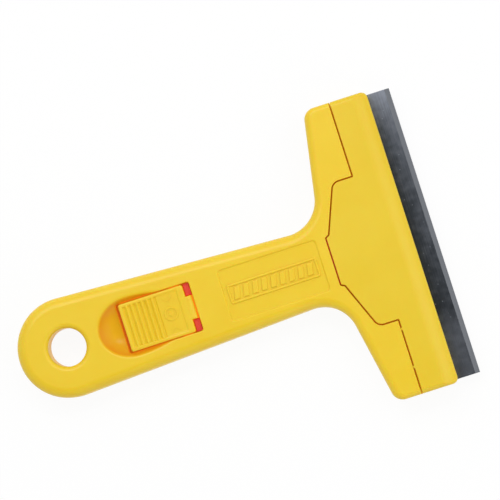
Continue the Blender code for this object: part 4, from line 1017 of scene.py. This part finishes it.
# The ribs are what is left between grooves with the section of a wave. One groove is repeated.
groove_half = RIB_PITCH * GROOVE_SHARE
groove_outline = mirrored([(-groove_half, RIB_MARGIN - BUTTON_HALF, 0, "all"),
                           (groove_half, RIB_MARGIN - BUTTON_HALF, 0, "all")], "all")
wave = []
for i in range(WAVE_STEPS + 1):
    share = i / WAVE_STEPS
    dip = RIB_HEIGHT * (1 + math.cos(math.pi * share)) / 2
    wave.append((Z_BUTTON - dip, groove_half * WAVE_SHARE * (share - 1)))
wave.append((Z_BUTTON + OVERRUN, 0.0))
groove = grown("groove", groove_outline, wave)
first_groove = X_BUTTON + RIB_MARGIN + RIB_PITCH / 2
cut(button, repeated("grip_grooves", groove, RIB_COUNT, first_groove, RIB_PITCH))
settle(button)

# The mark on the panel is a plain ring and dot between two chevrons
x_mark = panel_end - PANEL_LENGTH / 2
z_sunk = Z_BUTTON - PANEL_DEPTH
mark_heights = ((z_sunk - PIN_GAP, 0.0), (Z_BUTTON - PIN_GAP, 0.0), (Z_BUTTON, PIN_GAP))
ring = turned("mark_ring", x_mark, 0, [(MARK_RADIUS - inset, z) for z, inset in mark_heights])
bore = MARK_RADIUS - MARK_STROKE
cut(ring, turned("mark_bore", x_mark, 0, [(bore, z_sunk - OVERRUN), (bore, Z_BUTTON - PIN_GAP),
                                          (bore + 2 * PIN_GAP, Z_BUTTON + PIN_GAP)]))
settle(ring)
join(button, ring, turned("mark_dot", x_mark, 0, [(DOT_RADIUS - inset, z) for z, inset in mark_heights]))
for side in (-1, 1):
    tip = side * CHEVRON_PLACE
    foot = tip + side * CHEVRON_RISE
    stroke = side * MARK_STROKE
    shape = [(x_mark, tip), (x_mark + CHEVRON_HALF, foot), (x_mark + CHEVRON_HALF, foot + stroke),
             (x_mark, tip + stroke), (x_mark - CHEVRON_HALF, foot + stroke), (x_mark - CHEVRON_HALF, foot)]
    join(button, stacked(f"chevron_{side}", [[(x, y, z) for x, y in shape]
                                             for z in (z_sunk - PIN_GAP, Z_BUTTON - PIN_GAP / 2)]))
neck_start = X_BUTTON_END - BUTTON_WALL / 2
neck_outline = mirrored([(neck_start, -NECK_HALF, PARTING_ROUNDING, "side"),
                         (X_WINDOW_END - GAP, -NECK_HALF, PARTING_ROUNDING, "end")], "side")
join(button, moulding("button_neck", neck_outline,
                      {"side": edge((0, Z_AXLE, 0), (0, Z_BUTTON - weld, BUTTON_ROUNDING)),
                       "end": edge((0, Z_AXLE, 0), (0, Z_BUTTON - weld, NECK_ROUNDING))}),
     block("button_arm", (neck_start, X_AXLE), (weld - NECK_HALF, NECK_HALF - weld),
           (Z_AXLE - AXLE_RADIUS, Z_AXLE + AXLE_RADIUS)),
     cross_bar("button_axle", X_AXLE, Z_AXLE, AXLE_RADIUS, NECK_HALF + AXLE_EAR + GAP),
     block("button_foot", (X_FOOT - FOOT_HALF_LENGTH, X_FOOT + FOOT_HALF_LENGTH),
           (-FOOT_HALF_WIDTH, FOOT_HALF_WIDTH), (Z_ARM_TOP + GAP, Z_BUTTON_UNDER + PIN_GAP)))
ledge_end = X_BUTTON_END - BUTTON_WALL
for side in (-1, 1):
    join(button, block(f"ledge_{side}", (ledge_end - LEDGE_LENGTH, ledge_end),
                       (side * (BUTTON_HALF - BUTTON_WALL / 2), side * (WINDOW_HALF + LEDGE_WIDTH)),
                       (Z_ROOF - GAP - LEDGE_THICKNESS, Z_ROOF - GAP)))
settle(button)


# Painted warm shade and painted glow on the button: in its grooves by depth, quickly down its side walls
def button_painted_warmth(vert):
    depth = max(0.0, Z_BUTTON - vert.co.z)
    if abs(vert.normal.z) < 0.3:
        return min(1.0, depth / WALL_WARM_DEPTH)
    return min(1.0, depth / BUTTON_WARM_DEPTH) ** 2


mark_painted_warmth(button, button_painted_warmth)
smoothed(button)
dressed(button, yellow_abs, "button", "yellow_plastic", "press_button")

# Red lever
# The plain moulded lever under the button and the jaw. Only its two horns show from outside, in
# the corners beside the button's neck, so its imported shape is kept and given its own plastic.

# Its plastic has the same painted glow where it is closed in
red_abs = abs_plastic("moulded_red_abs", "#dc4028", "#e24a30", "#b02414", "#5c200a", 0.38)
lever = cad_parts["clamp_lever"]
lever.data.materials.clear()
lever.data.materials.append(red_abs)

# Studio
# The camera looks nearly straight down. A large soft light stands to the upper left of the picture,
# two weaker ones stand to the right, and a small one draws the glint in the scoop. The pale floor
# shows white but keeps a faint shadow.

VIEW_TURN = math.radians(-17.81)
VIEW_WIDTH = 166.9 * MM
VIEW_CENTRE = Vector((12.35 * MM, 12.2 * MM, HEIGHT))
CAMERA_PLACE = VIEW_CENTRE + Vector((73.6 * MM, -58.0 * MM, 1.7))

camera_data = bpy.data.cameras.new("camera")
camera_data.sensor_width = 36
camera_data.lens = 36 * (CAMERA_PLACE - VIEW_CENTRE).length / VIEW_WIDTH
camera = link("camera", camera_data)
sight = (VIEW_CENTRE - CAMERA_PLACE).normalized()
right = sight.cross(Vector((-math.sin(VIEW_TURN), math.cos(VIEW_TURN), 0))).normalized()
aim = Matrix((right, right.cross(sight), -sight)).transposed().to_4x4()
camera.matrix_world = Matrix.Translation(CAMERA_PLACE) @ aim
bpy.context.scene.camera = camera


def softbox(name, bearing, tilt, distance, size, power):
    """A square light that faces the object. Bearing is turned from the picture's right side."""
    light = bpy.data.lights.new(name, "AREA")
    light.size = size
    light.energy = power
    lamp = link(name, light)
    turn = bearing + VIEW_TURN
    reach = distance * math.sin(tilt)
    rise = distance * math.cos(tilt)
    lamp.location = VIEW_CENTRE + Vector((reach * math.cos(turn), reach * math.sin(turn), rise))
    lamp.rotation_euler = (0, tilt, turn)
    return lamp


lamps = [softbox("key_light", math.radians(125), math.radians(28), 0.8, 0.45, 2.55),
         softbox("fill_light", math.radians(-50), math.radians(60), 0.9, 0.6, 1.6),
         softbox("side_light", math.radians(20), math.radians(42), 0.8, 0.6, 1.6),
         softbox("small_light", math.radians(70), math.radians(24.5), 0.8, 0.06, 0.45)]

floor_mesh = bpy.data.meshes.new("floor")
FLOOR_REACH = 20.0              # metres, so that it fills the view from low angles too
UNSEEN_GLOW = 0.35              # how much of the floor is glow, where only its light counts
SEEN_GLOW = 0.93                # and where it is looked at, straight on or in a mirroring face
floor_corners = [(x * FLOOR_REACH, y * FLOOR_REACH, -PIN_GAP)
                 for x, y in ((-1, -1), (1, -1), (1, 1), (-1, 1))]
floor_mesh.from_pydata(floor_corners, [], [(0, 1, 2, 3)])
floor = link("floor", floor_mesh)
paper, tree = new_material("white_paper")
tree.nodes.clear()
ray = add(tree, "ShaderNodeLightPath")
mirrored_ray = add(tree, "ShaderNodeMath", {
    0: ray.outputs["Is Glossy Ray"], 1: ray.outputs["Is Transmission Ray"]}, operation="MAXIMUM")
seeing_ray = add(tree, "ShaderNodeMath", {
    0: ray.outputs["Is Camera Ray"], 1: mirrored_ray}, operation="MAXIMUM")
seen = add(tree, "ShaderNodeMapRange", {"Value": seeing_ray, 3: UNSEEN_GLOW, 4: SEEN_GLOW})
matt = add(tree, "ShaderNodeBsdfDiffuse", {"Color": rgb("#f2f2f2")})
glow = add(tree, "ShaderNodeEmission", {"Color": rgb("#ffffff"), "Strength": 1.0})
both = add(tree, "ShaderNodeMixShader", {0: seen, 1: matt, 2: glow})
# From below the paper is clear, so that the underside can be looked at
under = add(tree, "ShaderNodeNewGeometry").outputs["Backfacing"]
clear = add(tree, "ShaderNodeBsdfTransparent")
sheet = add(tree, "ShaderNodeMixShader", {0: under, 1: both, 2: clear})
add(tree, "ShaderNodeOutputMaterial", {"Surface": sheet})
paper.cycles.emission_sampling = "NONE"
floor_mesh.materials.append(paper)

world = bpy.data.worlds.new("studio_walls")
bpy.context.scene.world = world
world.use_nodes = True
tree = world.node_tree
outward = add(tree, "ShaderNodeTexCoord").outputs["Generated"]
upward = add(tree, "ShaderNodeSeparateXYZ", {0: outward})
height = add(tree, "ShaderNodeMapRange", {"Value": upward.outputs["Z"], 1: 0.72, 2: 0.97})
walls = add(tree, "ShaderNodeMix", {0: height, 6: rgb("#ffffff"), 7: rgb("#5c5c5c")}, data_type="RGBA")
lit_bearing = math.radians(135) + VIEW_TURN
lit_side = (math.cos(lit_bearing), math.sin(lit_bearing), 0.0)
towards = add(tree, "ShaderNodeVectorMath", {0: outward, 1: lit_side}, operation="DOT_PRODUCT")
power = add(tree, "ShaderNodeMapRange", {
    "Value": towards.outputs["Value"], 1: -0.8, 2: 0.8, 3: 0.48, 4: 0.8})
feed(tree, tree.nodes["Background"], {"Color": walls.outputs[2], "Strength": power})

view = bpy.context.scene.view_settings
view.view_transform = "Standard"
view.look = "None"
view.exposure = 0
view.gamma = 1
